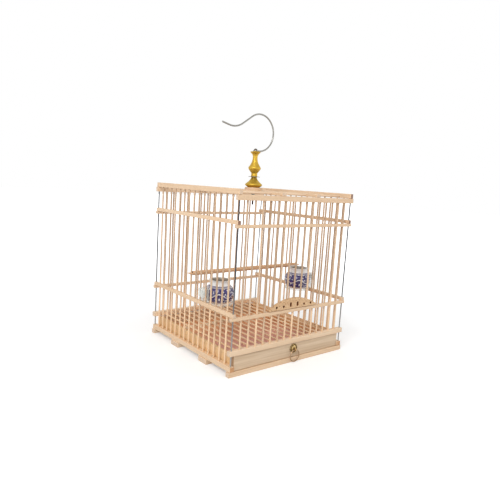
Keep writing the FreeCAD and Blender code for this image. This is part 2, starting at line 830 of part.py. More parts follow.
for name, side, rise in (("left", -1, s.jar_left_rise), ("right", 1, s.jar_right_rise)):
    level = lower_level + rise
    x = jar_x * side
    outside = turned(
        f"jar_outside_{name}", JAR_SHARES, s.jar_radius, s.jar_height, x, jar_y, level, s.jar_sides
    )
    rings = []
    for index, (out, up) in enumerate(JAR_HOLLOW_SHARES):
        z = level + s.jar_height * up
        if index == 0:
            z = z + s.jar_floor
        elif index == len(JAR_HOLLOW_SHARES) - 1:
            z = z + s.overrun
        radius = s.jar_radius * out - s.jar_wall
        rings.append(many_sided(f"jar_hollow_{name}_{index}", x, jar_y, z, radius, s.jar_sides))
    hollow = lofted(f"jar_hollow_{name}", rings)
    piece(joined("Part::Cut", f"jar_{name}", outside, hollow), f"seed_jar_{name}")

    holder = new_body(f"jar_holder_{name}")
    ring_top = level + s.holder_ring_top
    ring_z = (ring_top - s.holder_ring_height, ring_top)
    ring_out = s.holder_ring_radius + s.holder_ring_wall
    prism(holder, f"holder_ring_{name}", x, jar_y, ring_z, ring_out, s.jar_sides)
    arm_x = across(side, jar_x + s.holder_ring_radius, plate_outer)
    block(holder, f"holder_arm_{name}", arm_x, beside(jar_y, s.holder_arm_width), ring_z)
    bore_z = (ring_z[0] - s.overrun, ring_z[1] + s.overrun)
    prism(holder, f"holder_bore_{name}", x, jar_y, bore_z, s.holder_ring_radius, s.jar_sides, cut=True)
    plate_z = (ring_z[0], ring_z[0] + s.holder_plate_height)
    plate_x = across(side, plate_inner, plate_outer)
    block(holder, f"holder_plate_{name}", plate_x, beside(jar_y, s.holder_plate_width), plate_z)
    stem_z = beside(level + s.stem_level, s.stem_height)
    stem_x = across(side, plate_outer, stem_end)
    block(holder, f"holder_stem_{name}", stem_x, beside(jar_y, s.stem_width), stem_z)

    clip = new_body(f"jar_clip_{name}")
    padded_outline(clip, f"clip_plate_{name}", "YZ_Plane", oval, s.clip_thickness)
    slot_x = beside(zero, s.clip_thickness + s.overrun * 2)
    slot_y = beside(zero, s.stem_width + s.clip_fit * 2)
    slot_z = beside(zero, s.stem_height + s.clip_fit * 2)
    block(clip, f"clip_slot_{name}", slot_x, slot_y, slot_z, cut=True)
    clip_x = rod_x + s.bar_radius + s.clip_thickness / 2
    place(clip, clip_x * side, jar_y, level + s.stem_level)

# Hook stack on the roof: wooden disc on the middle roof bars, brass bell, washer and gourd
bolt_bore = s.bolt_radius + s.bolt_clearance
grip = s.bolt_radius + s.bolt_fit
bell_level = roof_level + s.disc_height
washer_level = bell_level + s.bell_height
gourd_level = washer_level + s.washer_thickness + s.swivel_gap
eye_level = gourd_level + s.gourd_height
eye_top = eye_level + s.hook_wire_radius * 2

disc = turned("disc", DISC_SHARES, s.disc_radius, s.disc_height, zero, zero, roof_level, s.disc_sides)
disc = bored("disc", disc, through(roof_level, s.disc_height), bolt_bore)
half_hole = s.disc_radius + s.overrun
for name, side in (("front", -1), ("back", 1)):
    hole = stick(f"disc_hole_{name}", -half_hole, zero, (-half_hole, half_hole), bar_hole, s.bar_sides)
    turn(hole, FreeCAD.Vector(0, 1, 0), 90)
    place(hole, -half_hole, pitch_y / 2 * side, roof_bar_level)
    disc = joined("Part::Cut", f"disc_drilled_{name}", disc, hole)
piece(disc, "hook_disc")

bell = turned("bell", BELL_SHARES, s.bell_radius, s.bell_height, zero, zero, bell_level)
piece(bored("bell", bell, through(bell_level, s.bell_height), bolt_bore), "finial_bell")
washer_z = (washer_level, washer_level + s.washer_thickness)
washer = stick("washer", zero, zero, washer_z, s.washer_radius, s.turned_sides)
piece(bored("washer", washer, through(washer_level, s.washer_thickness), bolt_bore), "finial_washer")
gourd = turned("gourd", GOURD_SHARES, s.gourd_radius, s.gourd_height, zero, zero, gourd_level)
piece(bored("gourd", gourd, through(gourd_level, s.gourd_height), grip), "finial_gourd")

# Bolt and nut that hold the stack and the hook's eye
bolt_z = (roof_level - s.bolt_tail, eye_top)
shank = stick("bolt_shank", zero, zero, bolt_z, s.bolt_radius, s.bolt_sides)
head_size = (s.bolt_head_radius, s.bolt_head_height)
head = turned("bolt_head", BOLT_HEAD_SHARES, *head_size, zero, zero, eye_top, s.bolt_sides)
piece(joined("Part::Fuse", "bolt", shank, head), "hook_bolt")
nut_top = roof_level - s.swivel_gap
nut_z = (nut_top - s.nut_height, nut_top)
nut = stick("nut", zero, zero, nut_z, s.nut_radius, s.nut_sides)
piece(bored("nut", nut, through(nut_z[0], s.nut_height), grip), "hook_nut")

# Hook wire: a flat eye on the bolt, a round bend, a straight run and an upturned lip
wire_level = eye_level + s.hook_wire_radius
wire_start = (grip + s.hook_eye_radius) / 2
lean = s.hook_lean
tip = s.hook_tip_rise
bend = s.hook_bend_radius
lip = s.hook_lip_radius
bend_end_x = s.hook_offset - bend * sine(lean)
bend_end_z = wire_level + bend + bend * cosine(lean)
run_end_x = bend_end_x - s.hook_run * cosine(lean)
run_end_z = bend_end_z - s.hook_run * sine(lean)
lip_end_x = run_end_x - lip * (sine(lean) + sine(tip))
lip_end_z = run_end_z + lip * (cosine(lean) - cosine(tip))
quarter_turn = Size.of(90)
hook_path = [
    (wire_start, wire_level),
    (s.hook_offset, wire_level),
    (bend_end_x, bend_end_z, bend * (1 - cosine(lean / 2 + quarter_turn))),
    (run_end_x, run_end_z),
    (lip_end_x, lip_end_z, lip * (cosine((lean + tip) / 2) - 1)),
    (lip_end_x - s.hook_tip_length * cosine(tip), lip_end_z + s.hook_tip_length * sine(tip)),
]
hook = new_body("hook_wire")
path = new_sketch(hook, "hook_path", "XZ_Plane")
outline(path, hook_path, closed=False)
section = new_sketch(hook, "hook_section", "YZ_Plane")
corners = []
for corner in range(SIZES["hook_wire_sides"]):
    angle = Size.of(360) * corner / s.hook_wire_sides
    corners.append((s.hook_wire_radius * cosine(angle), wire_level + s.hook_wire_radius * sine(angle)))
outline(section, corners)
bind(section, AttachmentOffset__Base__z=wire_start)
doc.recompute()
wire = hook.newObject("PartDesign::AdditivePipe", "hook_bent_wire")
wire.Profile = section
wire.Spine = (path, [""])
prism(hook, "hook_eye", zero, zero, (eye_level, eye_top), s.hook_eye_radius, s.bolt_sides)
eye_cut = through(eye_level, s.hook_wire_radius * 2)
prism(hook, "hook_eye_bore", zero, zero, eye_cut, grip / hexagon, s.bar_sides, cut=True)

# Build, check and write every piece
doc.recompute()
for thing in doc.Objects:
    if "Invalid" in thing.State or "Error" in thing.State:
        raise SystemExit(f"{thing.Label} failed: {thing.State}")
os.makedirs("parts", exist_ok=True)
for thing in pieces:
    shape = thing.Shape
    if shape.isNull() or not shape.isValid() or not shape.Solids:
        raise SystemExit(f"{thing.Label} has no valid solid")
    shape.exportStep(f"parts/{thing.Label}.step")
print(f"{len(pieces)} pieces, {sum(len(thing.Shape.Solids) for thing in pieces)} solids")
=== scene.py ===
# %% [markdown]
# A small square bird cage of bamboo: rails drilled in rows, thin round bars pushed through the holes, a
# drawer for the litter, two porcelain jars and a brass hook. It could be modelled by eye, but a
# measured model of all its pieces exists, so that one is opened first and every piece below takes its
# place and its reach from it. Both models then stay one object.

# %% Open the measured cage
import json
import math
import random
import bmesh
import bpy
from mathutils import Matrix, Vector

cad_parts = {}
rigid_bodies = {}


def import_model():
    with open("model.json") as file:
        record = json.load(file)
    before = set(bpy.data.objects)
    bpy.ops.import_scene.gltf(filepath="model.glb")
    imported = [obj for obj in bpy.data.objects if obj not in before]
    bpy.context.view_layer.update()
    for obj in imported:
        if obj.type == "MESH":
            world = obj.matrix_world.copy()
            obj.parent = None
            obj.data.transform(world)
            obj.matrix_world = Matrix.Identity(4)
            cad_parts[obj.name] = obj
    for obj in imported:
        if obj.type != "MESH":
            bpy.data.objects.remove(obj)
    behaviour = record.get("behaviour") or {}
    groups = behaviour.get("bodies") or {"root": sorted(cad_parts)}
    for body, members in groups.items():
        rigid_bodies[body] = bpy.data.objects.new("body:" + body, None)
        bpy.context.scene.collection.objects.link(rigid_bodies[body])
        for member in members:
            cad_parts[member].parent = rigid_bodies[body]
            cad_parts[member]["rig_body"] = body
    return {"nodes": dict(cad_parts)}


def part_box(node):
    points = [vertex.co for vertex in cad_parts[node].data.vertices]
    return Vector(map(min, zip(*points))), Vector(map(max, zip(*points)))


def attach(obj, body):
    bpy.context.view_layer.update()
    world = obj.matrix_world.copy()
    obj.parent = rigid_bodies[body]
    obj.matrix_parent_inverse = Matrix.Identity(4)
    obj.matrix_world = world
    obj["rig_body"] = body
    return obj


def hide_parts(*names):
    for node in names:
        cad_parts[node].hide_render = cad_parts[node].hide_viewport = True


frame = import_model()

MM = 0.001
X, Y, Z = 0, 1, 2
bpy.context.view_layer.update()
luck = random.Random(5)

# %% [markdown]
# Nearly all of a cage is long and thin: rails, bars and wire. Such pieces could start as stretched
# cubes and cylinders, but a skin over a run of rings gives worn ends and small wavers in the same step.
# Each point also carries a tone, since no two bamboo splits have the same colour, and a worn value for
# rubbed edges. On some pieces the tone also carries painted light and painted shade.

# %% A skin over rings
def circle(count):
    """The angles of evenly spaced points round a circle."""
    return [2 * math.pi * i / count for i in range(count)]


def skin(bm, rings, tone=0.5, worn=None, loop=False):
    layers = bm.verts.layers.float
    tones = layers.get("tone") or layers.new("tone")
    rubs = layers.get("worn") or layers.new("worn")
    tone_of = tone if isinstance(tone, list) else [tone] * len(rings)
    rows = []
    for ring, shade in zip(rings, tone_of):
        row = [bm.verts.new(point) for point in ring]
        for i, vert in enumerate(row):
            vert[tones] = shade
            vert[rubs] = worn[i] if worn else 0.0
        rows.append(row)
    count = len(rows[0])
    for a, b in list(zip(rows, rows[1:])) + ([(rows[-1], rows[0])] if loop else []):
        for i in range(count):
            j = (i + 1) % count
            bm.faces.new((a[i], a[j], b[j], b[i]))
    if not loop:
        bm.faces.new(rows[0][::-1])
        bm.faces.new(rows[-1])


print("corners of a six-sided ring, degrees:", [round(math.degrees(t)) for t in circle(6)])

# %% [markdown]
# A finished shape becomes a piece of the cage here. It rides with the body of the measured piece it
# stands for, so that it moves with the drawer, the door or the hook, and it gets its finish. One helper
# does this for all pieces, so that no step is forgotten for any of them.

# %% Handing a piece over
def hand_over(name, shape, look, *nodes, even=False):
    """Make a piece of a shape, let it ride with the measured nodes it stands for, and finish it."""
    if isinstance(shape, bmesh.types.BMesh):
        bmesh.ops.recalc_face_normals(shape, faces=shape.faces)
        mesh = bpy.data.meshes.new(name)
        shape.to_mesh(mesh)
        shape.free()
    else:
        mesh = shape
    mesh.materials.append(look)
    mesh.shade_smooth()
    thing = bpy.data.objects.new(name, mesh)
    bpy.context.scene.collection.objects.link(thing)
    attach(thing, frame["nodes"][nodes[0]]["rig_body"])
    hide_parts(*nodes)
    if even:
        thing.modifiers.new("even_shading", "WEIGHTED_NORMAL")
    return thing


# %% [markdown]
# Finishes could be pictures wrapped round the pieces. Here they are grown from noise inside the shader,
# so that they stay sharp from near and need no unwrapping. Three helpers keep that short: one turns a
# colour as seen on a screen into light, one adds a node and plugs it in, and one does sums.

# %% Shader nodes
def colour(red, green, blue):
    steps = [c / 255 for c in (red, green, blue)]
    return tuple(c / 12.92 if c <= 0.04045 else ((c + 0.055) / 1.055) ** 2.4 for c in steps) + (1.0,)


def knot(tree, kind, out, sets=None, **plugs):
    """Add a shader node, plug its inputs, and return one of its outputs."""
    node = tree.nodes.new("ShaderNode" + kind)
    for key, value in (sets or {}).items():
        setattr(node, key, value)
    for key, value in plugs.items():
        plug = node.inputs[int(key[1:]) if key[1:].isdigit() else key.replace("_", " ")]
        if isinstance(value, bpy.types.NodeSocket):
            tree.links.new(value, plug)
        else:
            plug.default_value = value
    return node.outputs[out]


def maths(tree, work, a, b=0.0, c=0.0):
    return knot(tree, "Math", 0, {"operation": work}, i0=a, i1=b, i2=c)


print("middle grey as light:", round(colour(128, 128, 128)[0], 3))

# %% [markdown]
# Most finishes follow one recipe: take the place on the piece, stretch some noise over it, and lay
# colours along a ramp by the strength of that noise. Building it node by node each time would hide the
# recipe, so each of its steps is a helper.

# %% Ramps, mixes and noise
def ramp(tree, factor, *stops):
    node = tree.nodes.new("ShaderNodeValToRGB")
    line = node.color_ramp.elements
    while len(line) < len(stops):
        line.new(0.5)
    for mark, (place, shade) in zip(line, stops):
        mark.position = place
        mark.color = shade
    tree.links.new(factor, node.inputs[0])
    return node.outputs[0]


def blended(tree, factor, a, b):
    return knot(tree, "Mix", 2, {"data_type": "RGBA"}, i0=factor, i6=a, i7=b)


def split(tree, where):
    """The X, Y and Z of a place or a direction."""
    node = tree.nodes.new("ShaderNodeSeparateXYZ")
    tree.links.new(where, node.inputs[0])
    return node.outputs


def carried(tree, name):
    """A value that the points of the piece carry."""
    return knot(tree, "Attribute", 2, {"attribute_name": name})


def new_finish(name):
    stuff = bpy.data.materials.new(name)
    stuff.use_nodes = True
    return stuff, stuff.node_tree, stuff.node_tree.nodes["Principled BSDF"]


def noise(tree, where, stretch, detail=3.0, rough=0.6):
    placed = knot(tree, "Mapping", 0, Vector=where, Scale=stretch)
    return knot(tree, "TexNoise", 0, Vector=placed, Scale=1.0, Detail=detail, Roughness=rough)


print("steps of a finish:", [step.__name__ for step in (noise, ramp, blended)])

# %% [markdown]
# Bamboo shows fine fibres along its length, broad paler patches, rubbed edges and darker dotted ends
# where the tubes of the grass were cut. Noise stretched along the rail gives the fibres, wider noise
# the patches, and small cells the dots. A picture of wood would run the same way over all faces; this
# finish knows which faces are the cut ends.

# %% Bamboo and wood
FIBRE_LENGTH, PATCH_WIDTH, PATCH_LENGTH = 45, 9, 110
TUBES = 1500.0


def wood(name, along, shades, rough=0.45, fine=1000.0):
    """A wood finish from four shades: dark, middle and light grain, and the cut ends."""
    dark, middle, light, ends = [colour(*shade) for shade in shades]
    stuff, tree, shader = new_finish(name)
    where = knot(tree, "TexCoord", "Object")
    stretch = [fine] * 3
    stretch[along] = fine / FIBRE_LENGTH
    broad = [fine / PATCH_WIDTH] * 3
    broad[along] = fine / PATCH_LENGTH
    fibre = noise(tree, where, stretch)
    patch = noise(tree, where, broad, 2.0)
    shade = maths(tree, "MULTIPLY_ADD", fibre, 0.55, maths(tree, "MULTIPLY_ADD", patch, 0.35, -0.2))
    shade = maths(tree, "MULTIPLY_ADD", carried(tree, "tone"), 0.5, shade)
    grain = ramp(tree, shade, (0.2, dark), (0.5, middle), (0.8, light))
    grain = blended(tree, maths(tree, "MULTIPLY", carried(tree, "worn"), 0.45), grain, light)
    facing = split(tree, knot(tree, "TexCoord", "Normal"))
    cut = maths(tree, "ABSOLUTE", facing[along])
    cut = knot(tree, "MapRange", 0, Value=cut, i1=0.7, i2=0.95)
    tubes = knot(tree, "TexVoronoi", 0, Vector=where, Scale=TUBES)
    dark_tubes = tuple(0.6 * c for c in ends[:3]) + (1.0,)
    dots = ramp(tree, tubes, (0.15, dark_tubes), (0.45, ends))
    tree.links.new(blended(tree, cut, grain, dots), shader.inputs["Base Color"])
    dull = knot(tree, "MapRange", 0, Value=fibre, i3=rough - 0.12, i4=rough + 0.15)
    tree.links.new(dull, shader.inputs["Roughness"])
    bump = knot(tree, "Bump", 0, Height=fibre, Strength=0.3, Distance=0.15 * MM)
    tree.links.new(bump, shader.inputs["Normal"])
    return stuff


print("fibres are drawn out", FIBRE_LENGTH, "times")

# %% [markdown]
# Every wood has four matched shades: dark, middle and light grain, and the cut ends. The grain runs
# along one axis, so rails and bars that lie in different directions have a finish each. One helper
# serves them all, because only shades and coarseness differ.

# %% Woods of the cage
rail_grain = [(205, 164, 124), (229, 196, 160), (243, 218, 188)]
rail_x, rail_y = [wood("bamboo_rail_" + "xy"[i], i, rail_grain + [(226, 198, 170)]) for i in (X, Y)]
dark_end_rail = wood("bamboo_rail_dark_ends", Y, rail_grain + [(142, 102, 80)])
brown_end_rail = wood("bamboo_rail_brown_ends", Y, rail_grain + [(206, 152, 104)])
# The light shade of the upright bars serves the painted light near their feet.
bar_z = wood("bamboo_bar_z", Z, [(168, 136, 106), (204, 174, 144), (246, 212, 174), (182, 146, 112)])
# The roof bars are a lighter copy of the same bamboo: painted light, since they are seen in shade.
bar_x = wood("bamboo_bar_x", X, [(222, 188, 152), (242, 214, 182), (252, 232, 208), (203, 164, 128)])
# The floor bars are a lighter copy too: painted light, since they lie in the shade of the cage.
bar_y = wood("bamboo_bar_y", Y, [(226, 188, 146), (246, 216, 178), (252, 234, 206), (203, 164, 128)])
drawer_wood = wood("drawer_wood", X, [(160, 128, 94), (208, 181, 149), (238, 217, 192), (186, 152, 118)],
                   0.5, 420.0)
# The drawer sides are painted lighter as painted light, since they lie in shade behind the bars.
side_wood = wood("drawer_side_wood", Y, [(210, 166, 112), (232, 194, 142), (244, 214, 170), (203, 164, 128)],
                 0.5, 500.0)
tray_wood = wood("tray_wood", Y, [(192, 132, 116), (218, 162, 146), (230, 180, 164), (160, 110, 98)],
                 0.6, 500.0)
perch_wood = wood("perch_wood", X, [(186, 136, 92), (222, 178, 136), (238, 202, 166), (160, 116, 80)],
                  0.5, 600.0)
disc_wood = wood("disc_wood", X, [(200, 156, 114), (224, 188, 148), (240, 212, 180), (228, 192, 162)],
                 0.5, 600.0)
board_wood = wood("door_board_wood", X, [(186, 140, 94), (218, 180, 136), (236, 206, 168), (200, 156, 112)])
# A dark wood for the walls of the door holes: painted shade.
painted_hole_shade = wood("hole_wall_painted_shade", Y, [(92, 50, 18), (128, 76, 34), (156, 102, 54), (92, 50, 18)])
print("wood finishes, the last one:", painted_hole_shade.name)

# %% [markdown]
# A planed rail has four flat faces, edges a little rounded by sanding, and faces that waver by about a
# tenth of a millimetre. A cube with a bevel would have the edges but dead straight faces. So the rail
# is a run of rounded squares, each a little smaller or larger than the last.

# %% Planing a rail
RAIL_STEP = 14 * MM


def planed(bm, low, high, tone=0.5, worn=0.5 * MM, waver=0.12 * MM):
    size = high - low
    along = max(range(3), key=lambda axis: size[axis])
    a, b = [axis for axis in range(3) if axis != along]
    length = size[along]
    phase = [luck.uniform(0, 6.3) for _ in range(4)]
    steps = max(3, int(length / RAIL_STEP))
    stops = [(0, 0.7 * worn), (0.3 * worn, 0.25 * worn), (worn, 0)]
    stops += [(worn + (length - 2 * worn) * i / steps, 0) for i in range(1, steps)]
    stops += [(length - d, inset) for d, inset in stops[2::-1]]
    rings = []
    for d, inset in stops:
        less = [inset + waver * (0.5 + 0.5 * math.sin(p + d * (60 + 25 * i))) for i, p in enumerate(phase)]
        la, ha = low[a] + less[0] + worn, high[a] - less[1] - worn
        lb, hb = low[b] + less[2] + worn, high[b] - less[3] - worn
        ring = []
        for quarter, (ca, cb) in enumerate(((ha, hb), (la, hb), (la, lb), (ha, lb))):
            for part in range(4):
                angle = math.radians(90 * quarter + 30 * part)
                point = Vector((0, 0, 0))
                point[along] = low[along] + d
                point[a] = ca + worn * math.cos(angle)
                point[b] = cb + worn * math.sin(angle)
                ring.append(point)
        rings.append(ring)
    skin(bm, rings, tone, [0, 1, 1, 0] * 4)


print("a ring along a rail every", RAIL_STEP / MM, "mm")

# %% [markdown]
# The frame comes first, as on the bench: rails planed to size and laid crosswise at the corners, the
# side ones on the front and back ones. Where two rails cross they are not jointed; a rod pins them. All
# come from one loop, because only their boxes differ. Some cut ends are darker and have a finish of
# their own. The back rails get a lighter tone as painted light.

# %% Rails
RAIL_NAMES = ("base_", "floor_rail", "floor_cross", "lower_", "upper_", "top_")
rails = [n for n in frame["nodes"] if n.startswith(RAIL_NAMES)]
darker_cut_ends = {"base_rail_left": brown_end_rail, "base_rail_right": brown_end_rail}
darker_cut_ends.update({n: dark_end_rail for n in ("top_rail_right", "upper_rail_right", "upper_rail_left")})
for node in sorted(rails):
    low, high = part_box(node)
    size = high - low
    along = max(range(3), key=lambda axis: size[axis])
    bm = bmesh.new()
    # the back rails are made lighter: painted light
    tone = luck.uniform(0.38, 0.65) + (0.35 if node.endswith("_back") else 0.0)
    planed(bm, low, high, tone)
    look = darker_cut_ends.get(node, (rail_x, rail_y)[along])
    hand_over(node + "_planed", bm, look, node, even=True)
print("rails:", len(rails))

# %% [markdown]
# A round bar is drawn through a hole in a steel plate, so it stays straight and varies only in
# thickness. A plain cylinder would be too even; rings of slightly different radius look like split
# bamboo, and the tone can grow paler towards the foot as painted light on the low part of the cage. A
# second helper finds the single bars in a measured row by the gaps between them.

# %% Drawing a bar
BAR_STEP, BAR_GAP, PAINTED_LIGHT_BELOW = 20 * MM, 2 * MM, 120 * MM


def round_bar(bm, foot, top, radius, tone=0.5, sides=12, waver=0.06, painted_light_low=0.0):
    run = top - foot
    side = run.orthogonal().normalized()
    other = run.cross(side).normalized()
    length = run.length
    phase = luck.uniform(0, 6.3)
    steps = max(2, int(length / BAR_STEP))
    stops = [(0, 0.75), (0.3 * radius, 1)]
    stops += [(length * i / steps, 1) for i in range(1, steps)]
    stops += [(length - 0.3 * radius, 1), (length, 0.75)]
    rings, tones = [], []
    for d, share in stops:
        r = radius * share * (1 - waver * (0.5 + 0.5 * math.sin(phase + 70 * d)))
        middle = foot + run * (d / length)
        rings.append([middle + side * (r * math.cos(t)) + other * (r * math.sin(t)) for t in circle(sides)])
        # painted light: the tone grows towards the foot of the bar
        tones.append(tone + painted_light_low * max(0.0, 1 - middle.z / PAINTED_LIGHT_BELOW))
    skin(bm, rings, tones)


def sticks_of(node, along):
    """The measured bars of one row, each as the two corners of its own box."""
    points = [v.co for v in frame["nodes"][node].data.vertices]
    others = [axis for axis in range(3) if axis != along]
    row = max(others, key=lambda axis: max(p[axis] for p in points) - min(p[axis] for p in points))
    points.sort(key=lambda p: p[row])
    groups = [[points[0]]]
    for point in points[1:]:
        if point[row] - groups[-1][-1][row] > BAR_GAP:
            groups.append([])
        groups[-1].append(point)

    def corner(group, pick):
        return Vector([pick(p[axis] for p in group) for axis in range(3)])

    return [(corner(group, min), corner(group, max)) for group in groups]


print("bars in the left wall:", len(sticks_of("bars_left", Z)))

# %% [markdown]
# The bars of the door slide through two of the front rails, so these two really are bored. The drill is
# a row of rods that is taken away from the planed rail, as a drill press would do it. The other bars
# stay put and hide their holes, so nothing is bored for them.

# %% Bores for the door
BORE_RADIUS = 1.7 * MM


def bored(thing, spots, radius):
    low, high = [pick(corner[Z] for corner in thing.bound_box) for pick in (min, max)]
    bm = bmesh.new()
    for spot in spots:
        foot, top = Vector((spot.x, spot.y, low - MM)), Vector((spot.x, spot.y, high + MM))
        round_bar(bm, foot, top, radius, sides=20, waver=0.0)
    bmesh.ops.recalc_face_normals(bm, faces=bm.faces)
    rods = bpy.data.meshes.new("drill")
    bm.to_mesh(rods)
    bm.free()
    drill = bpy.data.objects.new("drill", rods)
    bpy.context.scene.collection.objects.link(drill)
    thing.modifiers.clear()
    cut = thing.modifiers.new("bore", "BOOLEAN")
    cut.object = drill
    mesh = bpy.data.meshes.new_from_object(thing.evaluated_get(bpy.context.evaluated_depsgraph_get()))
    thing.modifiers.clear()
    thing.data = mesh
    bpy.data.objects.remove(drill)
    for name, value in (("tone", 0.5), ("worn", 0.0)):
        mesh.attributes[name].data.foreach_set("value", [value] * len(mesh.vertices))
    mesh.set_sharp_from_angle(angle=math.radians(35))
    thing.modifiers.new("even_shading", "WEIGHTED_NORMAL").keep_sharp = True


door_bars = [(low + high) / 2 for low, high in sticks_of("door_bars", Z)]
for node in ("upper_rail_front", "top_rail_front"):
    bored(bpy.data.objects[node + "_planed"], door_bars, BORE_RADIUS)

# %% [markdown]
# The bars are cut to length and pushed through the holes of all rails in a row. Each one has its own
# tone, and the upright ones are painted paler towards the foot as painted light. The floor is a row of
# the same bars, so that husks drop into the drawer, and the bars of the door ride with the door. One
# loop makes each row as one piece, as in the measured model.

# %% Bars
BAR_RADIUS = 1.32 * MM
bar_rows = {"bars_left": Z, "bars_right": Z, "bars_back": Z, "bars_front_left": Z, "bars_front_right": Z,
            "bars_under_door": Z, "door_bars": Z, "roof_bars_front": X, "roof_bars_middle": X,
            "roof_bars_back": X, "floor_bars": Y}
count = 0
for node, along in bar_rows.items():
    bm = bmesh.new()
    for low, high in sticks_of(node, along):
        foot, top = (low + high) / 2, (low + high) / 2
        foot[along], top[along] = low[along], high[along]
        round_bar(bm, foot, top, BAR_RADIUS, luck.uniform(0.05, 0.65), painted_light_low=1.1 if along == Z else 0.0)
        count += 1
    hand_over(node + "_round", bm, (bar_x, bar_y, bar_z)[along], node)
print("bars:", count)

# %% [markdown]
# Metals keep a colour of their own in the shine. Handling leaves faint scratches and brown patches of
# tarnish, so colour and roughness both drift slowly over the surface; an even shine would look like
# plastic. A low tone on the points marks the hollows, where tarnish stays; on the rosette and the corner
# rods it also carries painted shade and painted light.

# %% Steel, brass and old nickel
def metal(name, bright, tarnish, rough, amount, size=160.0):
    stuff, tree, shader = new_finish(name)
    where = knot(tree, "TexCoord", "Object")
    cloud = noise(tree, where, (size,) * 3, 4.0, 0.65)
    scratch = noise(tree, where, (size * 14, size * 14, size * 1.5), 2.0)
    tarnish_and_painted_shade = knot(tree, "MapRange", 0, Value=cloud, i1=0.45, i2=0.8, i3=0.0, i4=amount)
    # a low tone darkens: tarnish in hollows, and painted shade and light on the rosette and rods
    hollow = knot(tree, "MapRange", 0, Value=carried(tree, "tone"), i1=0.5, i2=0.0)
    tarnish_and_painted_shade = maths(tree, "MAXIMUM", tarnish_and_painted_shade, hollow)
    tree.links.new(blended(tree, tarnish_and_painted_shade, colour(*bright), colour(*tarnish)), shader.inputs["Base Color"])
    shine = maths(tree, "MULTIPLY_ADD", scratch, 0.16, maths(tree, "MULTIPLY_ADD", tarnish_and_painted_shade, 0.3, rough - 0.08))
    tree.links.new(shine, shader.inputs["Roughness"])
    shader.inputs["Metallic"].default_value = 1.0
    bump = knot(tree, "Bump", 0, Height=scratch, Strength=0.12, Distance=0.05 * MM)
    tree.links.new(bump, shader.inputs["Normal"])
    return stuff


steel = metal("drawn_steel", (148, 146, 140), (108, 106, 102), 0.36, 0.4)
rod_steel = metal("rod_steel", (170, 168, 166), (62, 64, 70), 0.4, 0.3)
brass = metal("turned_brass", (200, 166, 68), (160, 116, 34), 0.5, 0.3)
old_nickel = metal("old_nickel", (196, 166, 112), (64, 46, 24), 0.22, 0.6, 700.0)
copper_wire = metal("copper_wire", (176, 146, 116), (110, 84, 62), 0.3, 0.6)
dark_steel = metal("dark_steel", (96, 84, 72), (48, 40, 34), 0.4, 0.8, 500.0)
print("metal finishes, the last one:", dark_steel.name)

# %% [markdown]
# A thin steel rod pins the crossing rails at each corner; it is dark, and painted paler towards the
# drawer as painted light. It could be a plain cylinder, but the bar helper makes it too, with no waver,
# because steel is drawn true.

# %% Corner rods
ROD_RADIUS = 0.9 * MM
rods = [n for n in frame["nodes"] if n.startswith("corner_rod")]
for node in rods:
    low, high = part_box(node)
    foot, top = (low + high) / 2, (low + high) / 2
    foot.z, top.z = low.z, high.z
    bm = bmesh.new()
    round_bar(bm, foot, top, ROD_RADIUS, 0.04, 16, 0.0, painted_light_low=0.52)
    hand_over(node + "_round", bm, rod_steel, node)
print("corner rods:", len(rods))

# %% [markdown]
# The perch is a thicker stick, forked at both ends so that it grips a bar on each side. The fork could
# be cut out of the stick; two short prongs set into each end look the same and keep the mesh simple.

# %% Perch
low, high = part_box("perch")
middle = (low + high) / 2
thick = (high.z - low.z) / 2
fork, jaw, tip_gap = 1.75 * MM, 6.2 * MM, 0.06 * MM
bm = bmesh.new()
round_bar(bm, Vector((low.x + jaw, 0, middle.z)), Vector((high.x - jaw, 0, middle.z)), thick, 0.5, 20, 0.08)
for side in (-1, 1):
    for half in (-1, 1):
        aside = half * (fork + thick) / 2
        tip = Vector((side * (high.x - tip_gap), aside, middle.z))
        root = Vector((side * (high.x - 2.2 * jaw), aside * 0.6, middle.z))
        round_bar(bm, root, tip, (thick - fork) / 2 * 1.15, 0.4, 10, 0.02)
hand_over("perch_round", bm, perch_wood, "perch")
print("perch, mm thick:", round(2 * thick / MM, 1))

# %% [markdown]
# Two woods carry marks. The foot board of the door has small brown flecks, and the bottom of the
# drawer is pinkish in front and turns browner towards the back. Both marks are mixed over the finished
# wood, so that its grain still shows.

# %% Flecks and a shift from front to back
def flecked(stuff, fleck, fine):
    """Lay small brown flecks over a finish."""
    tree = stuff.node_tree
    plug = tree.nodes["Principled BSDF"].inputs["Base Color"]
    spot = noise(tree, knot(tree, "TexCoord", "Object"), (fine, fine, fine), 2.0)
    amount = knot(tree, "MapRange", 0, Value=spot, i1=0.56, i2=0.66, i3=0.0, i4=0.75)
    tree.links.new(blended(tree, amount, plug.links[0].from_socket, fleck), plug)


def graded_to_back(stuff, shade, near, far):
    """Let a finish turn to another shade between two places from front to back."""
    tree = stuff.node_tree
    plug = tree.nodes["Principled BSDF"].inputs["Base Color"]
    place = split(tree, knot(tree, "TexCoord", "Object"))
    amount = knot(tree, "MapRange", 0, Value=place[Y], i1=near, i2=far, i3=0.0, i4=0.65)
    tree.links.new(blended(tree, amount, plug.links[0].from_socket, shade), plug)


flecked(board_wood, colour(158, 98, 48), 420.0)
graded_to_back(tray_wood, colour(240, 178, 112), -30 * MM, 50 * MM)
print("marked:", board_wood.name, tray_wood.name)

# %% [markdown]
# The door is a short domed board with a row of bars standing in it. A finger in one of its holes lifts
# it. The dome is part of one circle, and the two middle holes are drawn up into slots. The first fixed
# bar beside the door stands four pitches from the middle, which gives the pitch of the holes.

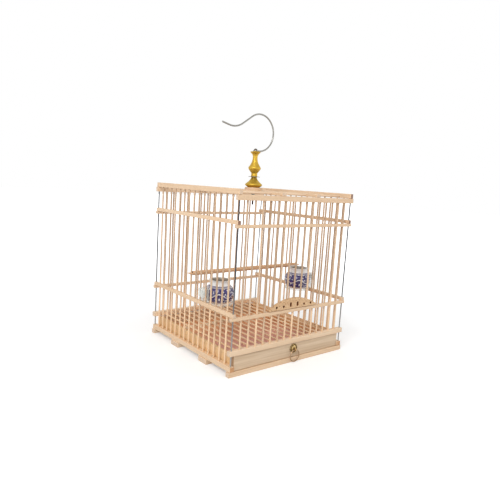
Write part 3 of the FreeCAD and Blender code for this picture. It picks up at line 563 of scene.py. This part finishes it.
# %% Outline of the door board
low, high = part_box("door_board")
HOLE_RADIUS, HOLE_LEVEL, SLOT_RISE = 1.7 * MM, 4.8 * MM, 3.0 * MM
HOLE_STEPS = (-2.5, -1.5, -0.5, 0.5, 1.5, 2.5)
FOOT_EDGE, FOOT_GAP = 2.0 * MM, 0.5 * MM
HALF_BAR, PITCHES = 1.4 * MM, 4
half, rise = high.x, high.z - low.z
dome = rise - FOOT_EDGE
bend = (half ** 2 + dome ** 2) / (2 * dome)
spread = math.asin(half / bend)
outline = [(-half, FOOT_GAP), (half, FOOT_GAP)]
outline += [(bend * math.sin(t), rise - bend + bend * math.cos(t))
            for t in [spread * (1 - i / 24) for i in range(49)]]
pitch = (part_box("bars_front_right")[0].x + HALF_BAR) / PITCHES
slots = {step: SLOT_RISE if abs(step) < 1 else 0.0 for step in HOLE_STEPS}
holes = [[(step * pitch + HOLE_RADIUS * math.cos(t),
           HOLE_LEVEL + HOLE_RADIUS * math.sin(t) + (slot if math.sin(t) > 0 else 0)) for t in circle(24)]
         for step, slot in slots.items()]
print("holes in the door board:", len(holes), "pitch, mm:", round(pitch / MM, 2))

# %% [markdown]
# A board with holes could be carved by taking rods away from a block, as for the bores. Here a flat
# curve with the outline and the holes is thickened instead, because that softens all edges at once,
# round the holes too. It is drawn lying down and then turned upright.

# %% Cutting the door board
SOFT = 0.3 * MM
flat = bpy.data.curves.new("door_board_outline", "CURVE")
flat.dimensions = "2D"
flat.fill_mode = "BOTH"
flat.extrude = (high.y - low.y) / 2 - SOFT
flat.bevel_depth = SOFT
flat.bevel_resolution = 1
flat.offset = -SOFT
for line in [outline] + holes:
    spline = flat.splines.new("POLY")
    spline.points.add(len(line) - 1)
    spline.use_cyclic_u = True
    for point, (x, z) in zip(spline.points, line):
        point.co = (x, z, 0, 1)
draft = bpy.data.objects.new("door_board_draft", flat)
bpy.context.scene.collection.objects.link(draft)
mesh = bpy.data.meshes.new_from_object(draft)
bpy.data.objects.remove(draft)
mesh.materials.clear()
mesh.transform(Matrix.Translation((0, (low.y + high.y) / 2, low.z)) @ Matrix.Rotation(math.pi / 2, 4, "X"))
mesh.attributes.new("tone", "FLOAT", "POINT").data.foreach_set("value", [0.45] * len(mesh.vertices))
hand_over("door_board_domed", mesh, board_wood, "door_board")
print("door board points:", len(mesh.vertices))

# %% [markdown]
# The walls of the holes are painted dark as painted shade, since they lie deep in the thick board.
# They could be pieces of their own; it is simpler to find the faces near the middle of each hole and
# give them that dark finish.

# %% Painted shade in the holes
HOLE_WALL = HOLE_RADIUS + 0.35 * MM
mesh.materials.append(painted_hole_shade)
for face in mesh.polygons:
    across, up = face.center.x, face.center.z - low.z - HOLE_LEVEL
    for step, slot in slots.items():
        over = up - min(max(up, 0), slot)
        if abs(face.normal.y) < 0.5 and math.hypot(across - step * pitch, over) < HOLE_WALL:
            face.material_index = 1
mesh.set_sharp_from_angle(angle=math.radians(35))
print("scorched faces:", sum(face.material_index for face in mesh.polygons))

# %% [markdown]
# The drawer is an open box of thin boards with a pinkish board for the bottom. It runs on the base
# rails and comes out to the front, so all its pieces ride together. Boards are wide rails, so the
# planing helper makes them.

# %% Drawer
for node, look in (("drawer_front", drawer_wood), ("drawer_back", drawer_wood), ("drawer_bottom", tray_wood),
                   ("drawer_side_left", side_wood), ("drawer_side_right", side_wood)):
    low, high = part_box(node)
    bm = bmesh.new()
    planed(bm, low, high, 0.5, 0.5 * MM, 0.08 * MM)
    hand_over(node + "_board", bm, look, node, even=True)
print("drawer boards, the last one long, mm:", round((high.y - low.y) / MM, 1))

# %% [markdown]
# Turned pieces are a line spun round an axis, as on a lathe. The line could be drawn with many points,
# but a few measured ones are enough, since a smooth line is drawn through them first. A ring of wire is
# a small circle carried round a large one.

# %% Turned shapes and rings of wire
SPUN_ACROSS = ((Y, Z), (Z, X), (X, Y))
TINY = 0.02 * MM


def eased(points, between=4):
    """More points along a smooth line through the given ones."""
    line = []
    for i in range(len(points) - 1):
        p0, p1, p2, p3 = [Vector(points[min(max(k, 0), len(points) - 1)]) for k in (i - 1, i, i + 1, i + 2)]
        for j in range(between):
            t = j / between
            line.append(0.5 * ((2 * p1) + (p2 - p0) * t + (2 * p0 - 5 * p1 + 4 * p2 - p3) * t ** 2
                               + (3 * p1 - p0 - 3 * p2 + p3) * t ** 3))
    return [(max(p[0], TINY), p[1]) for p in line + [Vector(points[-1])]]


def spun(bm, line, middle, axis=Z, sides=56, lobes=0, deep=0.0, tone=0.5):
    """Spin a line of (radius, height) round an axis through the middle."""
    a, b = SPUN_ACROSS[axis]
    rings = []
    for r, up in line:
        ring = []
        for t in circle(sides):
            point = Vector(middle)
            lobe = 1 - deep * (0.5 - 0.5 * math.cos(lobes * t))
            point[a] += r * lobe * math.cos(t)
            point[b] += r * lobe * math.sin(t)
            point[axis] += up
            ring.append(point)
        rings.append(ring)
    skin(bm, rings, tone)


def wire_ring(bm, middle, axis, big, small, sides=48, wire_sides=12):
    a, b = SPUN_ACROSS[axis]
    rings = []
    for t in circle(sides):
        ring = []
        for p in circle(wire_sides):
            point = Vector(middle)
            point[a] += (big + small * math.cos(p)) * math.cos(t)
            point[b] += (big + small * math.cos(p)) * math.sin(t)
            point[axis] += small * math.sin(p)
            ring.append(point)
        rings.append(ring)
    skin(bm, rings, loop=True)


print("points on a line eased through three:", len(eased([(1, 0), (2, 1), (1, 2)])))

# %% [markdown]
# A small pressed rosette with a scalloped rim and a row of beads holds an eye on the drawer front. It
# could be sculpted, but at this size rim, relief and beads are quicker to spin, the rim with a radius
# that swings in and out. Dark tarnish stays in the hollows of the relief, and the raised middle of the
# dome is painted dark as painted shade of a centre hole that is not modelled.

# %% Rosette
RING_WIRE, EYE_RADIUS, EYE_WIRE = 0.8 * MM, 1.75 * MM, 0.6 * MM
BEADS, BEAD_CIRCLE, BEAD_LEVEL = 20, 0.86, -0.8 * MM
low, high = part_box("pull_rosette")
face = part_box("drawer_front")[0].y
radius = (high.x - low.x) / 2
middle = Vector(((low.x + high.x) / 2, face, high.z - radius))
ring_low, ring_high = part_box("pull_ring")
eye = Vector((middle.x, (ring_low.y + ring_high.y) / 2, ring_high.z - RING_WIRE))
rim = [(1.0, 0.0), (1.0, -0.6), (0.95, -1.0), (0.8, -0.8)]
relief = [(0.78, -0.3), (0.74, -1.2), (0.66, -1.0), (0.55, -1.3), (0.4, -2.0), (0.2, -2.2), (0.0, -2.25)]
bead_line = [(TINY, -0.55 * MM), (0.4 * MM, -0.4 * MM), (0.55 * MM, 0), (0.4 * MM, 0.4 * MM)]
bm = bmesh.new()
spun(bm, [(r * radius, up * MM) for r, up in rim], middle, Y, 96, 12, 0.1, [0.0, 0.2, 0.4, 0.0])
line = eased([(r * radius, up * MM) for r, up in relief])
# low tone: tarnish in the grooves, painted shade on the middle of the dome
spun(bm, line, middle, Y, 48, tone=[0.0] * 10 + [0.5] * 10 + [0.0] * (len(line) - 20))
for t in circle(BEADS):
    across, up = BEAD_CIRCLE * radius * math.cos(t), BEAD_CIRCLE * radius * math.sin(t)
    spun(bm, bead_line, middle + Vector((across, BEAD_LEVEL, up)), Y, 8)
wire_ring(bm, eye, X, EYE_RADIUS, EYE_WIRE, 28, 10)
hand_over("pull_rosette_pressed", bm, old_nickel, "pull_rosette")
print("beads on the rosette:", BEADS)

# %% [markdown]
# A ring of copper wire hangs in the eye as the pull of the drawer. It swings, so it is a piece of its
# own and isn't joined to the eye, and the same helper as for the eye bends it.

# %% Pull ring
bm = bmesh.new()
big = (ring_high.x - ring_low.x) / 2 - RING_WIRE
wire_ring(bm, Vector((eye.x, eye.y, (ring_low.z + ring_high.z) / 2)), Y, big, 0.975 * RING_WIRE)
hand_over("pull_ring_wire", bm, copper_wire, "pull_ring")
print("pull ring across, mm:", round(2 * (big + RING_WIRE) / MM, 1))

# %% [markdown]
# The jars are white porcelain painted in blue under a clear glaze: lines round the foot and shoulder,
# and blossoms on a scrolling stem left white in a broad blue band. It is a common pattern. It could be
# painted on an unwrapped jar; here it follows from the angle round the jar and the height above its
# foot. Inside, the jar is painted a darker grey as painted shade.

# %% Porcelain
BAND_MIDDLE, BAND_HALF = 0.41, 0.29
STEM_LEVEL, STEM_SWING, STEM_HALF, STEM_WAVES = 0.4, 0.08, 0.016, 5.0
LINES = ((0.725, 0.01), (0.76, 0.014), (0.09, 0.012))
BLOSSOM = 0.34


def porcelain(name, middle, foot, height):
    stuff, tree, shader = new_finish(name)
    where = knot(tree, "TexCoord", "Object")
    spot = split(tree, where)
    angle = maths(tree, "ARCTAN2", maths(tree, "SUBTRACT", spot[Y], middle.y),
                  maths(tree, "SUBTRACT", spot[X], middle.x))
    level = maths(tree, "DIVIDE", maths(tree, "SUBTRACT", spot[Z], foot), height)

    def within(target, reach):
        away = maths(tree, "ABSOLUTE", maths(tree, "SUBTRACT", level, target))
        return maths(tree, "LESS_THAN", away, reach)

    wave = maths(tree, "SINE", maths(tree, "MULTIPLY", angle, STEM_WAVES))
    stem = within(maths(tree, "MULTIPLY_ADD", wave, STEM_SWING, STEM_LEVEL), STEM_HALF)
    leaf_place = knot(tree, "CombineXYZ", 0, X=maths(tree, "MULTIPLY", angle, 2.1),
                      Y=maths(tree, "MULTIPLY", level, 3.4))
    leaves = knot(tree, "TexVoronoi", 0, Vector=leaf_place, Scale=3.2, Randomness=0.75)
    blossoms = maths(tree, "LESS_THAN", leaves, BLOSSOM)
    paint = maths(tree, "SUBTRACT", within(BAND_MIDDLE, BAND_HALF), blossoms)
    paint = maths(tree, "MULTIPLY", paint, maths(tree, "SUBTRACT", 1.0, stem))
    for target, half in LINES:
        paint = maths(tree, "MAXIMUM", paint, within(target, half))
    pool = noise(tree, where, (420, 420, 420), 3.0)
    blue = ramp(tree, pool, (0.35, colour(26, 18, 70)), (0.65, colour(74, 64, 138)))
    white = ramp(tree, pool, (0.3, colour(226, 226, 228)), (0.7, colour(242, 241, 238)))
    glazed = blended(tree, paint, white, blue)
    # the inside of the jar is painted darker grey: painted shade
    painted_inner_shade = ramp(tree, pool, (0.3, colour(138, 128, 116)), (0.7, colour(176, 166, 152)))
    inside = knot(tree, "MapRange", 0, Value=carried(tree, "tone"), i1=0.5, i2=0.0)
    tree.links.new(blended(tree, inside, glazed, painted_inner_shade), shader.inputs["Base Color"])
    tree.links.new(knot(tree, "MapRange", 0, Value=pool, i3=0.1, i4=0.25), shader.inputs["Roughness"])
    shader.inputs["Coat Weight"].default_value = 0.5
    return stuff


print("painted lines round a jar:", len(LINES))

# %% [markdown]
# Each jar is thrown on a wheel: a full belly, a drawn-in neck and a rolled lip, hollow inside. Spinning
# a line is the same work. The numbers are shares of its radius and height, first up the outside and
# then down the inside, so that the thickness of the wall shows at the lip.

# %% Jars
belly = [(0.54, 0.0), (0.58, 0.012), (0.74, 0.08), (0.90, 0.20), (0.995, 0.42), (0.975, 0.54), (0.88, 0.67),
         (0.74, 0.76), (0.68, 0.83), (0.68, 0.92), (0.72, 0.98), (0.735, 0.99), (0.71, 1.0)]
hollow = [(0.62, 0.985), (0.58, 0.92), (0.58, 0.83), (0.64, 0.76), (0.78, 0.67), (0.87, 0.54), (0.89, 0.40),
          (0.79, 0.20), (0.58, 0.10), (0.3, 0.075)]
jar_foot = {}
for side in ("left", "right"):
    low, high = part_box("seed_jar_" + side)
    radius, height = (high.x - low.x) / 2, high.z - low.z
    middle = Vector(((low.x + high.x) / 2, (low.y + high.y) / 2, low.z))
    jar_foot[side] = middle
    line = eased([(radius * r, height * up) for r, up in belly + hollow], 4)
    outside = 4 * len(belly)
    bm = bmesh.new()
    # the inner wall gets a low tone, which paints shade inside the jar
    spun(bm, line, middle, Z, 72, tone=[0.5] * outside + [0.0] * (len(line) - outside))
    glaze = porcelain("blue_and_white_" + side, middle, low.z, height)
    hand_over("seed_jar_" + side + "_glazed", bm, glaze, "seed_jar_" + side)
    print(side, "jar height, mm:", round(height / MM, 1))

# %% [markdown]
# The jar holders are moulded in clear plastic. Bending the light as glass does would be slow and
# restless in front of so many bars, so the sheet is partly see-through instead. It shows most at its
# edges, with a faint haze elsewhere.

# %% Clear plastic
def clear_plastic(name):
    stuff, tree, shader = new_finish(name)
    where = knot(tree, "TexCoord", "Object")
    haze = noise(tree, where, (260, 260, 260), 3.0)
    edge = knot(tree, "LayerWeight", 1, Blend=0.35)
    see = maths(tree, "MULTIPLY_ADD", edge, 0.35, maths(tree, "MULTIPLY_ADD", haze, 0.24, 0.16))
    tint = ramp(tree, haze, (0.3, colour(224, 228, 222)), (0.7, colour(242, 244, 238)))
    tree.links.new(tint, shader.inputs["Base Color"])
    tree.links.new(see, shader.inputs["Alpha"])
    tree.links.new(knot(tree, "MapRange", 0, Value=haze, i3=0.08, i4=0.3), shader.inputs["Roughness"])
    shader.inputs["IOR"].default_value = 1.49
    return stuff


plastic = clear_plastic("clear_plastic_sheet")
print("plastic:", plastic.name)

# %% [markdown]
# A jar stands in the ring of a clear plastic holder. The ring joins a plate inside the bars, and a stem
# from the plate passes between two bars. The ring is a rounded band carried round a circle; the planing
# helper makes the flat pieces, without any waver, because plastic is moulded true.

# %% Jar holders
INNER, OUTER, DEEP, ROUNDING = 17.3 * MM, 19.8 * MM, 3.0 * MM, 0.4 * MM
band = [(INNER + ROUNDING, 0), (OUTER - ROUNDING, 0), (OUTER, ROUNDING), (OUTER, DEEP - ROUNDING),
        (OUTER - ROUNDING, DEEP), (INNER + ROUNDING, DEEP), (INNER, DEEP - ROUNDING), (INNER, ROUNDING)]
for side, out in (("left", -1), ("right", 1)):
    low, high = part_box("jar_holder_" + side)
    foot = jar_foot[side]
    bm = bmesh.new()
    skin(bm, [[Vector((foot.x + r * math.cos(t), foot.y + r * math.sin(t), low.z + up)) for r, up in band]
              for t in circle(56)], loop=True)
    plate = (98.8 * MM, 100.8 * MM, 8.0 * MM, 0.0, high.z - low.z)
    arm = (92.8 * MM, 99.0 * MM, 4.0 * MM, 0.0, DEEP)
    stem = (100.6 * MM, 107.4 * MM, 2.5 * MM, 15.1 * MM, 20.1 * MM)
    for near, far, wide, up, top in (plate, arm, stem):
        left, right = sorted((out * near, out * far))
        planed(bm, Vector((left, foot.y - wide, low.z + up)), Vector((right, foot.y + wide, low.z + top)),
               0.5, 0.6 * MM, 0.0)
    hand_over("jar_holder_" + side + "_clear", bm, plastic, "jar_holder_" + side, even=True)
    print(side, "holder, mm high:", round((high.z - low.z) / MM, 1))

# %% [markdown]
# Outside the bars, a flat clip with rounded corners is pushed on the stem and keeps the holder in
# place. A square could be rounded corner by corner; one power of the sine and cosine gives an outline
# between a circle and a square at once.

# %% Jar clips
CLIP_ROUND, CORNER_POWER = 0.4 * MM, 0.6
for side in ("left", "right"):
    low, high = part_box("jar_clip_" + side)
    centre = (low + high) / 2
    wide, tall = (high.y - low.y) / 2, (high.z - low.z) / 2
    rings = []
    near, far = (low.x, CLIP_ROUND), (high.x, CLIP_ROUND)
    for x, less in (near, (low.x + CLIP_ROUND, 0), (high.x - CLIP_ROUND, 0), far):
        ring = []
        for t in circle(48):
            c, s = [math.copysign(abs(part) ** CORNER_POWER, part) for part in (math.cos(t), math.sin(t))]
            ring.append(Vector((x, centre.y + (wide - less) * c, centre.z + (tall - less) * s)))
        rings.append(ring)
    bm = bmesh.new()
    skin(bm, rings)
    hand_over("jar_clip_" + side + "_clear", bm, plastic, "jar_clip_" + side, even=True)
    print(side, "clip, mm wide and high:", round(2 * wide / MM, 1), round(2 * tall / MM, 1))

# %% [markdown]
# The hook stands on a wooden disc that the two middle roof bars pass through. A bell and a gourd are
# turned from brass bar, with a thin washer between them. All four are spun from lines whose numbers are
# shares of the measured radius and height, so that none can leave its measured place.

# %% Disc, bell, washer and gourd
def turned(name, look, node, shares, between=5):
    low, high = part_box(node)
    radius, height = max(high.x, high.y), high.z - low.z
    bm = bmesh.new()
    spun(bm, eased([(radius * r, height * up) for r, up in shares], between), Vector((0, 0, low.z)))
    hand_over(name, bm, look, node)
    print(name, "is", round(height / MM, 1), "mm high")


disc_line = [(0.05, 0), (0.9, 0), (0.97, 0.05), (0.995, 0.15), (0.995, 0.8), (0.97, 0.93),
             (0.9, 1), (0.05, 1)]
bell_line = [(0.66, 0), (0.76, 0.04), (0.95, 0.17), (0.998, 0.26), (0.92, 0.36), (0.68, 0.52), (0.48, 0.70),
             (0.36, 0.86), (0.31, 1)]
washer_line = [(0.2, 0), (0.96, 0.02), (0.995, 0.3), (0.995, 0.7), (0.96, 0.98), (0.2, 1)]
gourd_line = [(0.5, 0), (0.49, 0.06), (0.48, 0.13), (0.72, 0.21), (0.995, 0.33), (0.77, 0.44), (0.49, 0.58),
              (0.38, 0.74), (0.46, 0.87), (0.79, 0.965), (0.81, 0.98), (0.76, 1)]
turned("hook_disc_turned", disc_wood, "hook_disc", disc_line, 3)
turned("finial_bell_turned", brass, "finial_bell", bell_line)
turned("finial_washer_turned", steel, "finial_washer", washer_line, 3)
turned("finial_gourd_turned", brass, "finial_gourd", gourd_line)

# %% [markdown]
# A long bolt with a cut thread runs down through the turned pieces, and a six-sided nut closes it
# below. A true thread is a spiral; rings one pitch apart look the same at this size and can be spun
# like the other pieces. The nut is spun too, with six sides only.

# %% Bolt and nut
low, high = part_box("hook_bolt")
seat = high.z - 2.4 * MM
THREAD_PITCH, THREAD_TURNS = 0.5 * MM, 44
CREST, ROOT = 1.48 * MM, 1.25 * MM
thread = [(1.3 * MM, low.z)]
for i in range(THREAD_TURNS):
    thread += [(CREST, low.z + (i + 0.5) * THREAD_PITCH), (ROOT, low.z + (i + 1.0) * THREAD_PITCH)]
shank = [(1.45 * MM, thread[-1][1] + THREAD_PITCH)]
head = [(1.45, 0), (2.5, 0), (2.6, 0.3), (2.3, 1.2), (1.5, 1.9), (0.7, 2.2), (0.02, 2.25)]
bm = bmesh.new()
spun(bm, thread + shank + [(r * MM, seat + up * MM) for r, up in head], Vector((0, 0, 0)), Z, 24)
bolt = hand_over("hook_bolt_threaded", bm, dark_steel, "hook_bolt")
bolt.data.set_sharp_from_angle(angle=math.radians(50))

low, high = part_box("hook_nut")
NUT_BORE, NUT_CORNER, NUT_BEVEL = 1.6 * MM, 3.2 * MM, 0.3 * MM
nut_line = [(NUT_BORE, low.z), (0.9 * NUT_CORNER, low.z), (NUT_CORNER, low.z + NUT_BEVEL),
            (NUT_CORNER, high.z - NUT_BEVEL), (0.9 * NUT_CORNER, high.z), (NUT_BORE, high.z)]
bm = bmesh.new()
spun(bm, nut_line, Vector((0, 0, 0)), Z, 6)
nut = hand_over("hook_nut_cut", bm, steel, "hook_nut")
nut.data.set_sharp_from_angle(angle=math.radians(30))
print("turns of thread on the bolt:", THREAD_TURNS)

# %% [markdown]
# The wire is one bent rod: an eye round the bolt, a large open bow, a straight run and a tip turned up.
# A curve with handles could follow it, but wire is bent round pins, so its path is a few arcs joined
# end to end, in millimetres.

# %% Path of the hook wire
BOW_STEPS, TURN_STEPS = 48, 12
BOW_RADIUS, BOW_START, BOW_SWEEP = 27.0, -90, 215
EYE_EDGE, BOW_FROM = 2.8, 6.0
RUN_STEPS, RUN_STEP, TURN_RADIUS, TIP_STEPS, TIP_STEP = 6, 3.5, 30.0, 2, 6.0
TIP_HEADING = math.radians(180 - 13)


def towards(angle):
    return Vector((math.cos(angle), math.sin(angle)))


path = [Vector((EYE_EDGE, 0)), Vector((BOW_FROM, 0))]
bow_centre = Vector((BOW_FROM, BOW_RADIUS))
path += [bow_centre + BOW_RADIUS * towards(math.radians(BOW_START + BOW_SWEEP * i / BOW_STEPS))
         for i in range(1, BOW_STEPS + 1)]
heading = math.radians(BOW_START + BOW_SWEEP + 90)
for i in range(RUN_STEPS):
    path.append(path[-1] + RUN_STEP * towards(heading))
turn_by = (heading - TIP_HEADING) / TURN_STEPS
for i in range(TURN_STEPS):
    heading -= turn_by / 2
    path.append(path[-1] + 2 * TURN_RADIUS * math.sin(turn_by / 2) * towards(heading))
    heading -= turn_by / 2
for i in range(TIP_STEPS):
    path.append(path[-1] + TIP_STEP * towards(heading))
print("wire tip, mm from the bolt and above the eye:", path[-1])

# %% [markdown]
# The skin follows that path with a circle across it at every point. The path is stretched a little so
# that the bow just reaches the measured height, and two smaller circles round off the tip.

# %% Hook wire
wire_low, wire_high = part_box("hook_wire")
WIRE_SIDES = 14
thick = 1.2 * MM
eye_level = wire_low.z + thick
rise = (wire_high.z - thick - eye_level) / max(p.y for p in path)
points = [Vector((p.x * MM, 0, eye_level + p.y * rise)) for p in path]
rings = []
for i, point in enumerate(points):
    before, after = points[max(i - 1, 0)], points[min(i + 1, len(points) - 1)]
    ahead = (after - before).normalized()
    up = ahead.cross(Vector((0, 1, 0)))
    ring = [Vector((0, math.cos(t), 0)) + up * math.sin(t) for t in circle(WIRE_SIDES)]
    rings.append([point + thick * spoke for spoke in ring])
for share, push in ((0.85, 0.5), (0.5, 0.85)):
    rings.append([point + thick * (share * spoke + push * ahead) for spoke in ring])
bm = bmesh.new()
skin(bm, rings)
wire_ring(bm, Vector((0, 0, eye_level)), Z, 2.75 * MM, thick, 36, WIRE_SIDES)
hand_over("hook_wire_bent", bm, steel, "hook_wire")
print("circles along the wire:", len(rings))

# %% [markdown]
# The cage stands on a pale floor that takes a soft shadow. One large plane with a hint of speckle is
# enough, since little else of it is seen.

# %% Floor
FLOOR_HALF = 6.0
floor_mesh = bpy.data.meshes.new("studio_floor")
floor_corners = [(x * FLOOR_HALF, y * FLOOR_HALF, 0) for x, y in ((-1, -1), (1, -1), (1, 1), (-1, 1))]
floor_mesh.from_pydata(floor_corners, [], [(0, 1, 2, 3)])
floor = bpy.data.objects.new("studio_floor", floor_mesh)
bpy.context.scene.collection.objects.link(floor)
stuff, tree, shader = new_finish("studio_floor_white")
floor_mesh.materials.append(stuff)
speck = noise(tree, knot(tree, "TexCoord", "Object"), (9, 9, 9), 2.0)
paper = ramp(tree, speck, (0.3, (0.78, 0.78, 0.78, 1)), (0.7, (0.82, 0.82, 0.82, 1)))
tree.links.new(paper, shader.inputs["Base Color"])
shader.inputs["Roughness"].default_value = 0.9
print("floor across, m:", 2 * FLOOR_HALF)

# %% [markdown]
# The ground of the picture is white. A white lit floor would throw too much light up at the cage, so
# the floor glows only for rays that show it, straight or in metal or glass, and less near the cage,
# where the shadow lies.

# %% White where it is seen
SHADOW_REACH, WHITE_FROM = 0.2, 0.9


def backdrop_ray(tree):
    """One where a ray shows the backdrop: straight to the camera, in metal or through glass."""
    path = tree.nodes.new("ShaderNodeLightPath")
    shown = maths(tree, "MAXIMUM", path.outputs["Is Camera Ray"], path.outputs["Is Glossy Ray"])
    return maths(tree, "MAXIMUM", shown, path.outputs["Is Transmission Ray"])


seen = backdrop_ray(tree)
shader.inputs["Emission Color"].default_value = (1, 1, 1, 1)
away = knot(tree, "VectorMath", "Value", {"operation": "LENGTH"}, i0=knot(tree, "TexCoord", "Object"))
glow = knot(tree, "MapRange", 0, Value=away, i1=SHADOW_REACH, i2=WHITE_FROM, i3=0.3, i4=1.0)
tree.links.new(maths(tree, "MULTIPLY", seen, glow), shader.inputs["Emission Strength"])
print("the floor is white from", WHITE_FROM, "m on")

# %% [markdown]
# The backdrop works in the same way: white where it is seen, while the light it sheds is bright from
# above and dimmer round the sides. An even white world would be simpler, but then the bars would lose
# their light and dark sides.

# %% Backdrop
world = bpy.data.worlds.new("studio")
bpy.context.scene.world = world
world.use_nodes = True
tree = world.node_tree
tree.nodes.clear()
way = split(tree, knot(tree, "TexCoord", "Generated"))
low_sky, middle_sky, high_sky = (0.52, 0.52, 0.53, 1), (0.65, 0.65, 0.65, 1), (0.95, 0.95, 0.95, 1)
sky = ramp(tree, way[Z], (0.0, low_sky), (0.35, middle_sky), (0.9, high_sky))
dim = knot(tree, "Background", 0, Color=sky, Strength=0.8)
plain = knot(tree, "Background", 0, Color=(1, 1, 1, 1), Strength=1.0)
shown = knot(tree, "MixShader", 0, i0=backdrop_ray(tree), i1=dim, i2=plain)
tree.links.new(shown, tree.nodes.new("ShaderNodeOutputWorld").inputs[0])
print("backdrop:", world.name)

# %% [markdown]
# The main lamp stands at the upper left. A weak one in front and one at the right soften the shadows.
# Point lamps would draw hard shadows of every bar, so wide lamps are used.

# %% Lamps
def lamp(name, place, aim, power, wide):
    light = bpy.data.lights.new(name, "AREA")
    light.energy = power
    light.size = wide
    thing = bpy.data.objects.new(name, light)
    thing.location = place
    thing.rotation_euler = (Vector(aim) - Vector(place)).to_track_quat("-Z", "Y").to_euler()
    bpy.context.scene.collection.objects.link(thing)
    print(name, "at", place)


lamp("key_lamp", (-1.2, -0.75, 1.1), (0, 0, 0.12), 13.0, 0.6)
lamp("front_lamp", (-0.4, -1.3, 0.4), (0, 0, 0.1), 0.5, 0.9)
lamp("side_lamp", (1.0, -0.7, 0.5), (0, 0, 0.12), 1.5, 0.6)
bpy.context.scene.view_settings.view_transform = "Standard"

# %% [markdown]
# The camera stands where the photo was taken from: a little above the roof, looking at the front left
# corner and tilted by a few degrees. It could be placed by eye; these numbers were worked out from the
# corners of the frame, whose real sizes are known.

# %% Camera
SENSOR, FOCAL_PIXELS, PHOTO_PIXELS = 36.0, 469.0, 500.0
STAND = Vector((-0.4507, -0.5553, 0.2473))
yaw, pitch_down, roll = math.radians(-39.10), math.radians(8.12), math.radians(3.42)
level = math.cos(pitch_down)
back = Vector((math.sin(yaw) * level, -math.cos(yaw) * level, math.sin(pitch_down)))
right = (-back).cross(Vector((0, 0, 1))).normalized()
up = right.cross(-back)
right, up = math.cos(roll) * right + math.sin(roll) * up, math.cos(roll) * up - math.sin(roll) * right
view = bpy.data.cameras.new("photo_camera")
view.sensor_width = SENSOR
view.lens = SENSOR * FOCAL_PIXELS / PHOTO_PIXELS
view.clip_start = 0.01
camera = bpy.data.objects.new("photo_camera", view)
camera.matrix_world = Matrix.Translation(STAND) @ Matrix((right, up, back)).transposed().to_4x4()
bpy.context.scene.collection.objects.link(camera)
bpy.context.scene.camera = camera
print("lens, mm:", round(view.lens, 1))
